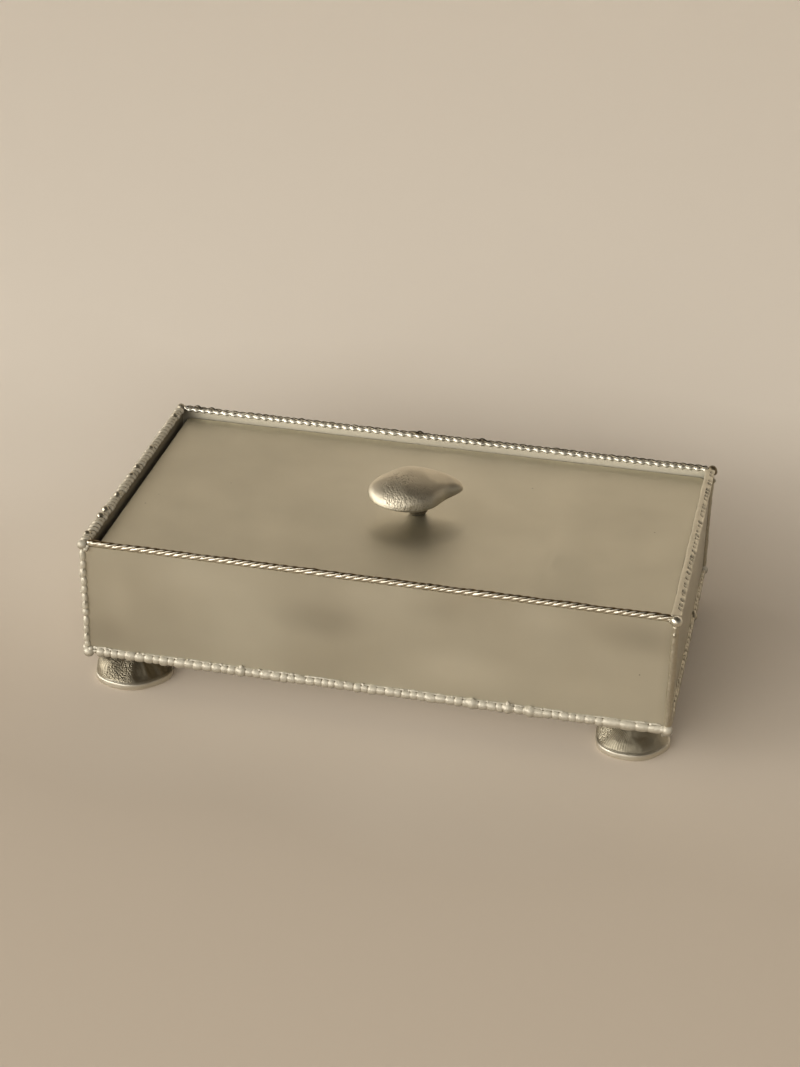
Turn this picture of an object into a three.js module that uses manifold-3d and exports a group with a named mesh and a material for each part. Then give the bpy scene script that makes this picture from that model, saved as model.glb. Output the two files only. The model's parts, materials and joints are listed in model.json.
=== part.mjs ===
// Trinket box: a soldered sheet-metal tray with a loose inset lid, a cast pebble knob and pebble feet.
// Millimetres, +Z up, +X along the length, -Y towards the front.
// The origin is on the floor, under the middle of the tray.

import * as THREE from "three";
import { mergeVertices } from "three/addons/utils/BufferGeometryUtils.js";
import Module from "manifold-3d";

const wasm = await Module();
wasm.setup();

// Tray of sheet metal
const BOX_LENGTH = 250;
const BOX_DEPTH = 136;
const WALL_HEIGHT = 50;
const WALL_SHEET = 1.2;
const BASE_SHEET = 1.4;
// Room left between soldered pieces
const SOLDER_GAP = 0.15;

// Loose lid, with its play inside the four walls
const LID_SHEET = 1.3;
const LID_RECESS = 3.1;
const LID_PLAY_LEFT = 3.2;
const LID_PLAY_RIGHT = 2;
const LID_PLAY_FRONT = 1.3;
const LID_PLAY_BACK = 1.25;
const LID_CORNER_RADIUS = 2.2;
const LID_SEAT_GAP = 0.1;

// Ledges that carry the lid
const LEDGE_WIDTH = 5;
const LEDGE_SHEET = 1.5;
const LEDGE_END_ROOM = 12;

// Solder rope on the front and back rims: its strands and the groove between them
const ROPE_RADIUS = 1.35;
const ROPE_GROOVE_RADIUS = 0.95;
const ROPE_STRAND_PITCH = 3.7;
const ROPE_STRANDS = 5;
// Flat band on the right rim, nicked along its outer edge
const BAND_RADIUS = 1.65;
const BAND_HEIGHT = 1.6;
const BAND_NICK_PITCH = 3.6;
const BAND_NICK = 0.74;
// Beads on the left rim
const RIM_BEAD_RADIUS = 2.1;
const RIM_BEAD_PITCH = 3.6;

// Pearl string along the bottom edges
const BASE_BEAD_RADIUS = 2.25;
const BASE_BEAD_PITCH = 3.95;
// Seams up the corners: beaded at the left, smooth at the right
const SEAM_RADIUS = 1.8;
const SEAM_BEAD_PITCH = 4.3;
const SEAM_SMOOTH_PITCH = 8.5;
// How thin the solder gets between two beads, as a share of the bead
const BEAD_WAIST = 0.68;
const SEAM_WAIST = 0.78;
const SMOOTH_WAIST = 0.93;

// Balls at the corners
const RIM_BALL_RADIUS = 2.2;
const RIM_BALL_LIFT = 0.5;
const BASE_BALL_RADIUS = 2.5;

// Pebble feet and the solder pads on top of them
const FOOT_LENGTH = 33.6;
const FOOT_DEPTH = 32.2;
const FOOT_HEIGHT = 12.25;
const FOOT_INSET_X = 16.2;
const FOOT_INSET_Y = 10.6;
const FOOT_BEAD_ROOM = 0.3;
const PAD_RADIUS = 4.4;
const PAD_WAIST_RADIUS = 3.5;

// Pebble knob and its neck
const KNOB_LENGTH = 41.6;
const KNOB_DEPTH = 31;
const KNOB_THICKNESS = 15;
const KNOB_OFFSET_X = 3.4;
const KNOB_OFFSET_Y = -0.5;
const KNOB_PINCH = 0.5;
const KNOB_TURN = THREE.MathUtils.degToRad(16);
const KNOB_TIP_DROOP = 0.4;
// Girth of the blunt tip, as a share of the pebble's
const KNOB_TIP_GIRTH = 0.34;
const NECK_HEIGHT = 4.2;
const NECK_RADIUS = 3.2;
const NECK_FOOT_RADIUS = 3.7;
const NECK_TOP_RADIUS = 5;
const NECK_FLARE = 1.2;
const NECK_SETBACK = 1.5;

// Heights above the floor
const padHeight = BASE_BEAD_RADIUS + FOOT_BEAD_ROOM;
const padZ = FOOT_HEIGHT + SOLDER_GAP;
const baseZ = padZ + padHeight + SOLDER_GAP;
const wallZ = baseZ + BASE_SHEET + SOLDER_GAP;
const wallTopZ = wallZ + WALL_HEIGHT;
const lidTopZ = wallTopZ - LID_RECESS;
const lidZ = lidTopZ - LID_SHEET;
const ledgeZ = lidZ - LID_SEAT_GAP - LEDGE_SHEET;

// Half sizes of the tray
const outerX = BOX_LENGTH / 2;
const outerY = BOX_DEPTH / 2;
const innerX = outerX - WALL_SHEET;
const innerY = outerY - WALL_SHEET;

// The trims stop short of the balls and of each other at every corner
const rimReach = WALL_SHEET / 2 + Math.max(ROPE_RADIUS, BAND_RADIUS, RIM_BEAD_RADIUS);
const rimStop = Math.max(RIM_BALL_RADIUS, rimReach) + SOLDER_GAP;
const baseStop = Math.max(BASE_BALL_RADIUS, BASE_BEAD_RADIUS, SEAM_RADIUS) + SOLDER_GAP;

// Finishes: satin sheet, bright solder and rougher cast pewter
function satinSheet(color) {
  return new THREE.MeshStandardMaterial({ color, roughness: 0.42, metalness: 1 });
}
function brightSolder() {
  return new THREE.MeshStandardMaterial({ color: 0xc9c1ae, roughness: 0.24, metalness: 1 });
}
function castPewter() {
  return new THREE.MeshStandardMaterial({ color: 0xa79c85, roughness: 0.36, metalness: 1 });
}

function named(name, geometry, material) {
  const mesh = new THREE.Mesh(geometry, material);
  mesh.name = name;
  return mesh;
}

// Even steps of about the wanted pitch that fill a length exactly
function stepsFor(length, pitch) {
  return Math.max(2, Math.round(length / pitch));
}

// Small regular unevenness, as hand-laid solder has: about -1 to 1
function uneven(i) {
  return 0.6 * Math.sin(2.4 * i) + 0.4 * Math.sin(5.3 * i + 1);
}

// Signed volume of a triangle list, used to turn its faces outwards
function signedVolume(points, faces) {
  const cross = new THREE.Vector3();
  let sum = 0;
  for (let i = 0; i < faces.length; i += 3) {
    cross.crossVectors(points[faces[i + 1]], points[faces[i + 2]]);
    sum += points[faces[i]].dot(cross);
  }
  return sum / 6;
}

// Skin over a row of rings with equal point counts, closed at both ends by a fan from each first point.
// The diagonal of every facet follows the twist: forwards for 1, backwards for -1.
function loft(rings, twist = 1) {
  const count = rings[0].length;
  const points = rings.flat();
  const faces = [];
  for (let i = 0; i + 1 < rings.length; i += 1) {
    for (let j = 0; j < count; j += 1) {
      const a = i * count + j;
      const b = i * count + ((j + 1) % count);
      const c = b + count;
      const d = a + count;
      if (twist > 0) {
        faces.push(a, b, d, b, c, d);
      } else {
        faces.push(a, b, c, a, c, d);
      }
    }
  }
  const last = (rings.length - 1) * count;
  for (let j = 1; j + 1 < count; j += 1) {
    faces.push(0, j + 1, j);
    faces.push(last, last + j, last + j + 1);
  }
  if (signedVolume(points, faces) < 0) {
    faces.reverse();
  }
  const geometry = new THREE.BufferGeometry().setFromPoints(points);
  geometry.setIndex(faces);
  geometry.computeVertexNormals();
  return geometry;
}

// Closed body from a three.js geometry, ready for a cut
function closedBody(geometry) {
  const plain = geometry.clone();
  plain.deleteAttribute("normal");
  plain.deleteAttribute("uv");
  const welded = mergeVertices(plain, 1e-4);
  const vertProperties = Float32Array.from(welded.attributes.position.array);
  const triVerts = Uint32Array.from(welded.index.array);
  return new wasm.Manifold(new wasm.Mesh({ numProp: 3, vertProperties, triVerts }));
}

function cutAway(geometry, tool) {
  const cut = closedBody(geometry).subtract(closedBody(tool)).getMesh();
  const result = new THREE.BufferGeometry();
  result.setAttribute("position", new THREE.BufferAttribute(Float32Array.from(cut.vertProperties), 3));
  result.setIndex(Array.from(cut.triVerts));
  result.computeVertexNormals();
  return result;
}

// Sheet-metal tray

function sheet(name, width, depth, height) {
  return named(name, new THREE.BoxGeometry(width, depth, height), satinSheet(0xb3a78e));
}

function addTray(box) {
  const base = sheet("base_panel", BOX_LENGTH, BOX_DEPTH, BASE_SHEET);
  base.position.z = baseZ + BASE_SHEET / 2;
  box.add(base);
  const sideLength = 2 * (innerY - SOLDER_GAP);
  for (const [end, sign] of [["front", -1], ["back", 1]]) {
    const wall = sheet(`${end}_wall`, BOX_LENGTH, WALL_SHEET, WALL_HEIGHT);
    wall.position.set(0, sign * (outerY - WALL_SHEET / 2), wallZ + WALL_HEIGHT / 2);
    const ledge = sheet(`lid_ledge_${end}`, 2 * (innerX - LEDGE_END_ROOM), LEDGE_WIDTH, LEDGE_SHEET);
    const ledgeY = innerY - SOLDER_GAP - LEDGE_WIDTH / 2;
    ledge.position.set(0, sign * ledgeY, ledgeZ + LEDGE_SHEET / 2);
    box.add(wall, ledge);
  }
  for (const [end, sign] of [["left", -1], ["right", 1]]) {
    const wall = sheet(`${end}_wall`, WALL_SHEET, sideLength, WALL_HEIGHT);
    wall.position.set(sign * (outerX - WALL_SHEET / 2), 0, wallZ + WALL_HEIGHT / 2);
    box.add(wall);
  }
}

// Solder trims, each drawn along its own X axis and turned into place

// Three-quarter round that hugs an outside corner: the sheet fills +a, +b behind the notch
function cornerSection(radius) {
  const section = [[-SOLDER_GAP, -SOLDER_GAP], [-SOLDER_GAP, radius]];
  const parts = 4;
  for (let i = 1; i < parts; i += 1) {
    const angle = Math.PI / 2 + (1.5 * Math.PI * i) / parts;
    section.push([radius * Math.cos(angle), radius * Math.sin(angle)]);
  }
  section.push([radius, -SOLDER_GAP]);
  return section;
}

// Round with a flat seat that stands on the top edge of a wall
function seatedSection(radius, middle) {
  const section = [];
  const low = -Math.asin(middle / radius);
  const parts = 5;
  for (let i = 0; i <= parts; i += 1) {
    const angle = low + ((Math.PI - 2 * low) * i) / parts;
    section.push([radius * Math.cos(angle), SOLDER_GAP + middle + radius * Math.sin(angle)]);
  }
  return section;
}

// String of uneven beads: a thin ring at each waist and a full ring at each belly
function beadString(length, pitch, radius, waist, sectionAt) {
  const count = stepsFor(length, pitch);
  const step = length / count;
  const rings = [];
  const addRing = (x, r) => rings.push(sectionAt(r).map(([a, b]) => new THREE.Vector3(x, a, b)));
  for (let i = 0; i < count; i += 1) {
    const start = i * step - length / 2;
    addRing(start, radius * waist);
    addRing(start + step * (0.5 + 0.08 * uneven(i + 7)), radius * (0.95 + 0.05 * uneven(i)));
  }
  addRing(length / 2, radius * waist);
  return loft(rings);
}

// Flat band that stands on the top edge of a wall: even on the inner side, drawn in to the radius outside
function bandSection(radius) {
  const inner = -BAND_RADIUS;
  return [
    [inner * 0.8, SOLDER_GAP],
    [inner, SOLDER_GAP + BAND_HEIGHT * 0.5],
    [inner * 0.6, SOLDER_GAP + BAND_HEIGHT],
    [radius * 0.55, SOLDER_GAP + BAND_HEIGHT],
    [radius, SOLDER_GAP + BAND_HEIGHT * 0.5],
    [radius * 0.8, SOLDER_GAP],
  ];
}

// Rope of twisted strands: strands and grooves take turns round the section,
// which turns by half a strand at each ring and always has a point straight down, on the wall
function twistedRope(length, strandPitch, strands, radius, groove, hand) {
  const count = stepsFor(length, strandPitch) * 2;
  const sides = 2 * strands;
  const rings = [];
  for (let i = 0; i <= count; i += 1) {
    const ring = [];
    for (let j = 0; j < sides; j += 1) {
      const reach = j % 2 === 0 ? radius : groove;
      const angle = ((j + hand * i) * 2 * Math.PI) / sides;
      const x = (i / count - 0.5) * length;
      ring.push(new THREE.Vector3(x, reach * Math.cos(angle), reach * Math.sin(angle)));
    }
    rings.push(ring);
  }
  return loft(rings, hand);
}

function addRims(box) {
  const alongX = BOX_LENGTH - 2 * rimStop;
  const alongY = BOX_DEPTH - 2 * rimStop;
  const wallMiddleX = outerX - WALL_SHEET / 2;
  const wallMiddleY = outerY - WALL_SHEET / 2;
  const ropeZ = wallTopZ + SOLDER_GAP + ROPE_RADIUS;
  for (const [end, sign] of [["front", -1], ["back", 1]]) {
    const strand = [ROPE_STRAND_PITCH, ROPE_STRANDS, ROPE_RADIUS, ROPE_GROOVE_RADIUS];
    const shape = twistedRope(alongX, ...strand, sign);
    const rope = named(`rim_rope_${end}`, shape, brightSolder());
    rope.position.set(0, sign * wallMiddleY, ropeZ);
    box.add(rope);
  }
  const nicked = beadString(alongY, BAND_NICK_PITCH, BAND_RADIUS, BAND_NICK, bandSection);
  const right = named("rim_band_right", nicked, brightSolder());
  right.rotation.z = -Math.PI / 2;
  right.position.set(wallMiddleX, 0, wallTopZ);
  const onEdge = (radius) => seatedSection(radius, RIM_BEAD_RADIUS * BEAD_WAIST * 0.85);
  const beads = beadString(alongY, RIM_BEAD_PITCH, RIM_BEAD_RADIUS, BEAD_WAIST, onEdge);
  const left = named("rim_bead_left", beads, brightSolder());
  left.rotation.z = -Math.PI / 2;
  left.position.set(-wallMiddleX, 0, wallTopZ);
  box.add(left, right);
}

function addBaseBeads(box) {
  const sides = [
    ["front", BOX_LENGTH, outerY, 0],
    ["right", BOX_DEPTH, outerX, Math.PI / 2],
    ["back", BOX_LENGTH, outerY, Math.PI],
    ["left", BOX_DEPTH, outerX, -Math.PI / 2],
  ];
  for (const [name, length, reach, turn] of sides) {
    const span = length - 2 * baseStop;
    const shape = beadString(span, BASE_BEAD_PITCH, BASE_BEAD_RADIUS, BEAD_WAIST, cornerSection);
    const beads = named(`base_bead_${name}`, shape, brightSolder());
    beads.position.set(reach * Math.sin(turn), -reach * Math.cos(turn), baseZ);
    beads.rotation.z = turn;
    box.add(beads);
  }
}

function addCorners(box) {
  // The outside of the tray with the solder gap round it, taken out of every ball
  const tray = new THREE.BoxGeometry(BOX_LENGTH, BOX_DEPTH, wallTopZ - baseZ);
  const grown = 2 * SOLDER_GAP;
  tray.scale(1 + grown / BOX_LENGTH, 1 + grown / BOX_DEPTH, 1 + grown / (wallTopZ - baseZ));
  tray.translate(0, 0, (baseZ + wallTopZ) / 2);
  // Stands a seam upright: its own X becomes Z, and its sheet side faces into the tray
  const upright = new THREE.Matrix4().makeBasis(
    new THREE.Vector3(0, 0, 1),
    new THREE.Vector3(1, 0, 0),
    new THREE.Vector3(0, 1, 0),
  );
  const seamBottom = baseZ + baseStop;
  const seamTop = wallTopZ + RIM_BALL_LIFT - RIM_BALL_RADIUS - SOLDER_GAP;
  const corners = [
    ["front_left", -1, -1, 0],
    ["front_right", 1, -1, Math.PI / 2],
    ["back_right", 1, 1, Math.PI],
    ["back_left", -1, 1, -Math.PI / 2],
  ];
  for (const [name, signX, signY, turn] of corners) {
    const smooth = signX > 0;
    const pitch = smooth ? SEAM_SMOOTH_PITCH : SEAM_BEAD_PITCH;
    const waist = smooth ? SMOOTH_WAIST : SEAM_WAIST;
    const shape = beadString(seamTop - seamBottom, pitch, SEAM_RADIUS, waist, cornerSection);
    shape.applyMatrix4(upright);
    const seam = named(`corner_seam_${name}`, shape, brightSolder());
    seam.position.set(signX * outerX, signY * outerY, (seamBottom + seamTop) / 2);
    seam.rotation.z = turn;
    box.add(seam);
    const balls = [
      ["rim", RIM_BALL_RADIUS, wallTopZ + RIM_BALL_LIFT],
      ["base", BASE_BALL_RADIUS, baseZ],
    ];
    for (const [level, radius, z] of balls) {
      const sphere = new THREE.SphereGeometry(radius, 12, 6);
      sphere.rotateX(Math.PI / 2);
      sphere.translate(signX * outerX, signY * outerY, z);
      const ball = cutAway(sphere, tray);
      ball.translate(-signX * outerX, -signY * outerY, -z);
      const mesh = named(`${level}_ball_${name}`, ball, brightSolder());
      mesh.position.set(signX * outerX, signY * outerY, z);
      box.add(mesh);
    }
  }
}

// Feet: round pebbles with a thick smooth lip below and a dome above,
// flat where they stand and where the solder pad sits

function footShape(seed, stretch, outward) {
  // Height share and width share of each level, from the floor up
  const levels = [
    [0, 0.82],
    [0.06, 0.94],
    [0.15, 1],
    [0.24, 0.985],
    [0.31, 0.92],
    [0.5, 0.84],
    [0.7, 0.69],
    [0.87, 0.51],
    [1, 0.34],
  ];
  const sides = 18;
  const rings = levels.map(([height, width]) => {
    const ring = [];
    for (let j = 0; j < sides; j += 1) {
      const angle = (2 * Math.PI * j) / sides;
      const lump = 0.03 * Math.cos(3 * angle + seed) + 0.02 * Math.cos(5 * angle + 2 * seed);
      const reach = (width * (1 + lump)) / 1.02;
      const x = (FOOT_LENGTH / 2) * stretch * reach * Math.cos(angle);
      const y = outward * (FOOT_DEPTH / 2) * reach * Math.sin(angle);
      ring.push(new THREE.Vector3(x, y, FOOT_HEIGHT * height));
    }
    return ring;
  });
  return loft(rings);
}

function addFeet(box) {
  // Corner, its signs, how far the hand-set pebble slipped to the right, its stretch, lumps and turn
  const feet = [
    ["front_left", -1, -1, 1.2, 1.07, 0, 0],
    ["front_right", 1, -1, 1.5, 1.04, 1.7, -34],
    ["back_right", 1, 1, 0, 1, 1.7, 0],
    ["back_left", -1, 1, 0, 1, 0, 0],
  ];
  for (const [name, signX, signY, slip, stretch, seed, turn] of feet) {
    const x = signX * (outerX - FOOT_INSET_X) + slip;
    const y = signY * (outerY - FOOT_INSET_Y);
    const foot = named(`foot_${name}`, footShape(seed, stretch, signY), castPewter());
    foot.rotation.z = THREE.MathUtils.degToRad(turn);
    foot.position.set(x, y, 0);
    const profile = [
      [0, 0],
      [PAD_RADIUS, 0],
      [PAD_WAIST_RADIUS, padHeight / 2],
      [PAD_RADIUS, padHeight],
      [0, padHeight],
    ].map(([r, z]) => new THREE.Vector2(r, z));
    const shape = new THREE.LatheGeometry(profile, 14);
    shape.rotateX(Math.PI / 2);
    const pad = named(`foot_solder_${name}`, shape, brightSolder());
    // The pad keeps behind the pearl string
    const padInset = Math.max(FOOT_INSET_Y, padHeight + PAD_RADIUS);
    pad.position.set(x, signY * (outerY - padInset), padZ);
    box.add(foot, pad);
  }
}

// Lid, neck and knob

function lidOutline(width, depth, radius) {
  const x = width / 2;
  const y = depth / 2;
  const outline = new THREE.Shape();
  outline.moveTo(-x + radius, -y);
  outline.lineTo(x - radius, -y);
  outline.absarc(x - radius, -y + radius, radius, -Math.PI / 2, 0);
  outline.lineTo(x, y - radius);
  outline.absarc(x - radius, y - radius, radius, 0, Math.PI / 2);
  outline.lineTo(-x + radius, y);
  outline.absarc(-x + radius, y - radius, radius, Math.PI / 2, Math.PI);
  outline.lineTo(-x, -y + radius);
  outline.absarc(-x + radius, -y + radius, radius, Math.PI, 1.5 * Math.PI);
  return outline;
}

// Pebble lofted along its length, from the blunt end at -X to the drawn-out tip at +X.
// Its flat underside at the neck is at height 0.
function knobShape() {
  const stations = 15;
  const sides = 18;
  const rings = [];
  for (let i = 0; i <= stations; i += 1) {
    const share = 0.5 - 0.5 * Math.cos((Math.PI * (i + 0.35)) / (stations + 0.7));
    const along = (share - 0.5) * KNOB_LENGTH;
    // Egg curve: full a little left of the middle, drawn out to the right
    const egg = Math.sin(Math.PI * share ** 0.82) ** 0.63;
    const blunt = KNOB_TIP_GIRTH * Math.sqrt(1 - Math.max(0, (share - 0.86) / 0.14) ** 2);
    const girth = Math.hypot(egg ** 2, share > 0.7 ? blunt ** 2 : 0) ** 0.5;
    const tip = Math.max(0, share - 0.55) / 0.45;
    const droop = KNOB_TIP_DROOP * tip * tip;
    const sweep = 0.06 * KNOB_DEPTH * tip;
    // Hollowed under the tip, on the front side and below
    const pinch = 1 - KNOB_PINCH * THREE.MathUtils.smoothstep(share, 0.6, 0.86);
    const ring = [];
    for (let j = 0; j < sides; j += 1) {
      const angle = (2 * Math.PI * j) / sides;
      const side = Math.cos(angle);
      const rise = Math.sin(angle);
      // The top is flatter than the belly, with a rounded shoulder
      const roundness = rise > 0 ? 0.72 : 0.95;
      const wide = Math.sign(side) * Math.abs(side) ** (rise > 0 ? 0.85 : 1);
      const y = (KNOB_DEPTH / 2) * girth * wide * (side < 0 ? pinch : 1) + sweep;
      const high = Math.sign(rise) * Math.abs(rise) ** roundness * girth ** 0.85 * (rise < 0 ? pinch : 1);
      const z = (KNOB_THICKNESS / 2) * (1 + high) - droop;
      ring.push(new THREE.Vector3(along, y, z));
    }
    rings.push(ring);
  }
  return loft(rings);
}

function addLid(lid) {
  const width = 2 * innerX - LID_PLAY_LEFT - LID_PLAY_RIGHT;
  const depth = 2 * innerY - LID_PLAY_FRONT - LID_PLAY_BACK;
  const middleX = (LID_PLAY_LEFT - LID_PLAY_RIGHT) / 2;
  const middleY = (LID_PLAY_FRONT - LID_PLAY_BACK) / 2;
  const plate = new THREE.ExtrudeGeometry(lidOutline(width, depth, LID_CORNER_RADIUS), {
    depth: LID_SHEET,
    bevelEnabled: false,
    curveSegments: 5,
  });
  const panel = named("lid_panel", plate, satinSheet(0xb8ac94));
  panel.position.set(middleX, middleY, lidZ);

  const neckX = middleX + KNOB_OFFSET_X;
  const knobY = middleY + KNOB_OFFSET_Y;
  const neckY = knobY + NECK_SETBACK;
  const neckBottom = lidTopZ + SOLDER_GAP;
  const profile = [
    [0, 0],
    [NECK_FOOT_RADIUS, 0],
    [NECK_RADIUS, NECK_FLARE],
    [NECK_RADIUS, NECK_HEIGHT / 2],
    [NECK_TOP_RADIUS, NECK_HEIGHT],
    [0, NECK_HEIGHT],
  ].map(([r, z]) => new THREE.Vector2(r, z));
  const turned = new THREE.LatheGeometry(profile, 18);
  turned.rotateX(Math.PI / 2);
  const neck = named("knob_neck", turned, castPewter());
  neck.position.set(neckX, neckY, neckBottom);

  const knob = named("lid_knob", knobShape(), castPewter());
  knob.rotation.z = KNOB_TURN;
  knob.position.set(neckX, knobY, neckBottom + NECK_HEIGHT + SOLDER_GAP);
  lid.add(panel, neck, knob);
}

const box = new THREE.Group();
box.name = "box";
addTray(box);
addRims(box);
addBaseBeads(box);
addCorners(box);
addFeet(box);

const lid = new THREE.Group();
lid.name = "lid";
addLid(lid);

const part = new THREE.Group();
part.name = "trinket_box";
part.add(box, lid);

export default part;
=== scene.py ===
# %% [markdown]
# This lesson dresses a small trinket box. On the real one, five satin sheets of metal are soldered
# into a tray, a sixth lies in it as a loose lid, and every edge is hidden under a run of solder that
# was twisted, beaded or nicked by hand. The knob and the four feet are cast pebbles.
# The tray's measures are settled already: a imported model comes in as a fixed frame, and everything
# that is made here has to sit on it. So the first cell only loads that frame and notes its size.

# %% Load the fixed frame
import json
import math
import random

import bpy
import numpy as np
from mathutils import Matrix, Vector, noise


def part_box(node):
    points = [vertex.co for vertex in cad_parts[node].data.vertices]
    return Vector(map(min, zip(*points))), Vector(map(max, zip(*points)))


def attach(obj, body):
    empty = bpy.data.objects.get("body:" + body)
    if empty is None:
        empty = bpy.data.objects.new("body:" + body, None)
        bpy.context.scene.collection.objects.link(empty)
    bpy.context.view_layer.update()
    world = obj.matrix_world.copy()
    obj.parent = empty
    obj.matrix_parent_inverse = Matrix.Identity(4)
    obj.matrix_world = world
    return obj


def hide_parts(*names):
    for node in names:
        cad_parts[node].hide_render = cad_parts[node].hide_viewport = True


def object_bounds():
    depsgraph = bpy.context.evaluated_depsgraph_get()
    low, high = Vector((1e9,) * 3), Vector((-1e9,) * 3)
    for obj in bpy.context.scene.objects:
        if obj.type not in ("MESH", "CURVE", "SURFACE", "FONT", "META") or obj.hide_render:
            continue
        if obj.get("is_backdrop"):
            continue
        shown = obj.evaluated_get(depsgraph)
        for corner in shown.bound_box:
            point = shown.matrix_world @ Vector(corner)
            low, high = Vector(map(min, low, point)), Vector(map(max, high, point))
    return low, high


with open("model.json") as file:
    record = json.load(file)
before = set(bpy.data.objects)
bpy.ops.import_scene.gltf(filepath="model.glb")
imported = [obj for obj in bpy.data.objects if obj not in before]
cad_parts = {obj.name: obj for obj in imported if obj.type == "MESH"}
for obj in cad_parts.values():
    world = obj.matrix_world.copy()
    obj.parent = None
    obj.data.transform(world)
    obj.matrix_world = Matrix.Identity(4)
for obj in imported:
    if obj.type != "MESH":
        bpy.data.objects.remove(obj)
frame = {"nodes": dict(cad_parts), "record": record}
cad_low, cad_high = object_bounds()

scene = bpy.context.scene
print("frame:", len(frame["nodes"]), "nodes, box", [round(v, 4) for v in cad_high - cad_low], "m")

# %% [markdown]
# A maker thinks of a box this small in millimetres, while Blender counts in metres. All the shaping
# below is done in millimetres and scaled once, at the moment a mesh is made. The few lengths that
# the trims depend on are read from the frame's own sheets, so nothing has to be fitted by eye.

# %% Read the tray's measures
MM = 0.001
UP = (0, 0, 1)


def span(node):
    """Lowest and highest corner of one of the frame's nodes, in millimetres."""
    low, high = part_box(node)
    return np.array(low) / MM, np.array(high) / MM


side_x = span("right_wall")[1][0]
side_y = span("back_wall")[1][1]
base_z = span("base_panel")[0][2]
wall_top_z = span("front_wall")[1][2]
sheet_thick = span("front_wall")[1][1] - span("front_wall")[0][1]
print("tray half sizes", side_x, side_y, "wall top", round(wall_top_z, 2), "sheet", round(sheet_thick, 2))

# %% [markdown]
# The camera comes first, because every later choice is judged through it. One could move it by hand
# until the picture looks right. Here its direction, roll and distance were worked out from the
# corners of the box instead, so the numbers are written down as a photographer would note them:
# where the camera stands round the box, how high, how tilted, and how long its lens is.

# %% Set up the camera
CAMERA_ROUND = math.radians(12.36)
CAMERA_HIGH = math.radians(29.087)
CAMERA_ROLL = math.radians(1.052)
CAMERA_AWAY = 1.00854
CAMERA_ASIDE = -0.00247
CAMERA_RAISED = 0.04658
PICTURE_HEIGHT = 1067
LENS_IN_PIXELS = 2243.82
SENSOR = 36

back = Vector((
    math.sin(CAMERA_ROUND) * math.cos(CAMERA_HIGH),
    -math.cos(CAMERA_ROUND) * math.cos(CAMERA_HIGH),
    math.sin(CAMERA_HIGH),
))
level = Vector((math.cos(CAMERA_ROUND), math.sin(CAMERA_ROUND), 0))
upward = back.cross(level)
right = math.cos(CAMERA_ROLL) * level + math.sin(CAMERA_ROLL) * upward
top = math.cos(CAMERA_ROLL) * upward - math.sin(CAMERA_ROLL) * level

camera_data = bpy.data.cameras.new("camera")
camera_data.sensor_fit = "VERTICAL"
camera_data.sensor_height = SENSOR
camera_data.sensor_width = SENSOR
camera_data.lens = SENSOR * LENS_IN_PIXELS / PICTURE_HEIGHT
camera = bpy.data.objects.new("camera", camera_data)
scene.collection.objects.link(camera)
camera.matrix_world = Matrix((right, top, back)).transposed().to_4x4()
camera.location = back * CAMERA_AWAY + right * CAMERA_ASIDE + top * CAMERA_RAISED
scene.camera = camera
print("camera at", [round(v, 3) for v in camera.location], "lens", round(camera_data.lens, 1), "mm")

# %% [markdown]
# Every finish in Blender is a net of nodes: some make a pattern, some turn it into a colour or a
# roughness, and a shader at the end takes it all up. Such nets could be drawn by hand, but written
# down they can be repeated and compared. A few helpers keep the writing short. One adds a node and
# wires it up: an input that is given a number or a colour is set, and one that is given another
# node's output is linked to it.

# %% Helpers: nodes and how they are wired
def wire(tree, node, inputs):
    """Sets a node's inputs, or links them where another node's output is given."""
    for key, value in inputs.items():
        if isinstance(value, bpy.types.NodeSocket):
            tree.links.new(value, node.inputs[key])
        else:
            node.inputs[key].default_value = value


def add(tree, kind, inputs, **choices):
    """Adds a node with its choices and inputs made, and gives back its outputs."""
    node = tree.nodes.new(kind)
    for choice, value in choices.items():
        setattr(node, choice, value)
    wire(tree, node, inputs)
    return node.outputs


def ramp(tree, source, stops):
    """Turns a value into a colour, through stops of (position, red, green, blue)."""
    made = tree.nodes.new("ShaderNodeValToRGB")
    bar = made.color_ramp
    while len(bar.elements) < len(stops):
        bar.elements.new(0.5)
    for element, (position, *colour) in zip(bar.elements, stops):
        element.position = position
        element.color = (*colour, 1)
    wire(tree, made, {"Fac": source})
    return made.outputs["Color"]


def between(tree, source, low, high, start=0.3, end=0.7, way="LINEAR"):
    """Maps a value that runs from start to end onto another range, such as a span of roughness."""
    limits = {"From Min": start, "From Max": end, "To Min": low, "To Max": high}
    mapped = add(tree, "ShaderNodeMapRange", {"Value": source, **limits}, interpolation_type=way)
    return mapped["Result"]


def blended(tree, share, first, second):
    """Mixes a colour with a fixed second one, by a share from 0 to 1."""
    colours = {"Factor": share, 6: first, 7: (*second, 1)}
    return add(tree, "ShaderNodeMix", colours, data_type="RGBA")[2]


def new_finish(name):
    """A new material, its nodes and its shader."""
    finish = bpy.data.materials.new(name)
    finish.use_nodes = True
    return finish, finish.node_tree, finish.node_tree.nodes["Principled BSDF"]


print("node helpers:", [helper.__name__ for helper in (wire, add, ramp, between, blended, new_finish)])

# %% [markdown]
# The box stands on a sheet of beige paper that rises softly behind it. A flat plane would do for the
# camera's own view, but a satin lid mirrors what stands behind the box, so the paper is one long
# sweep: flat under the box, then a wide curve, then upright. It is far enough back that a camera
# which walks round the box still stands in front of it. The paper's tone wavers a little, as paper
# that was rolled up does, and it is painted paler away from the camera: painted light, standing for
# the paper further back being more brightly lit.

# %% Lay the paper sweep
PAPER_HALF_WIDTH = 10
PAPER_FRONT = -10
PAPER_BEND_START = 1.5
PAPER_BEND_RADIUS = 0.9
PAPER_BEND_STEPS = 24
PAPER_TOP = 2.5
# Near and far paper tints; the paler far tint is painted light on the paper further back.
PAPER_TINTS_WITH_PAINTED_LIGHT = [(0.0, 0.52, 0.445, 0.36), (0.42, 0.84, 0.77, 0.68)]
PAPER_WAVER = 0.25

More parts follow.
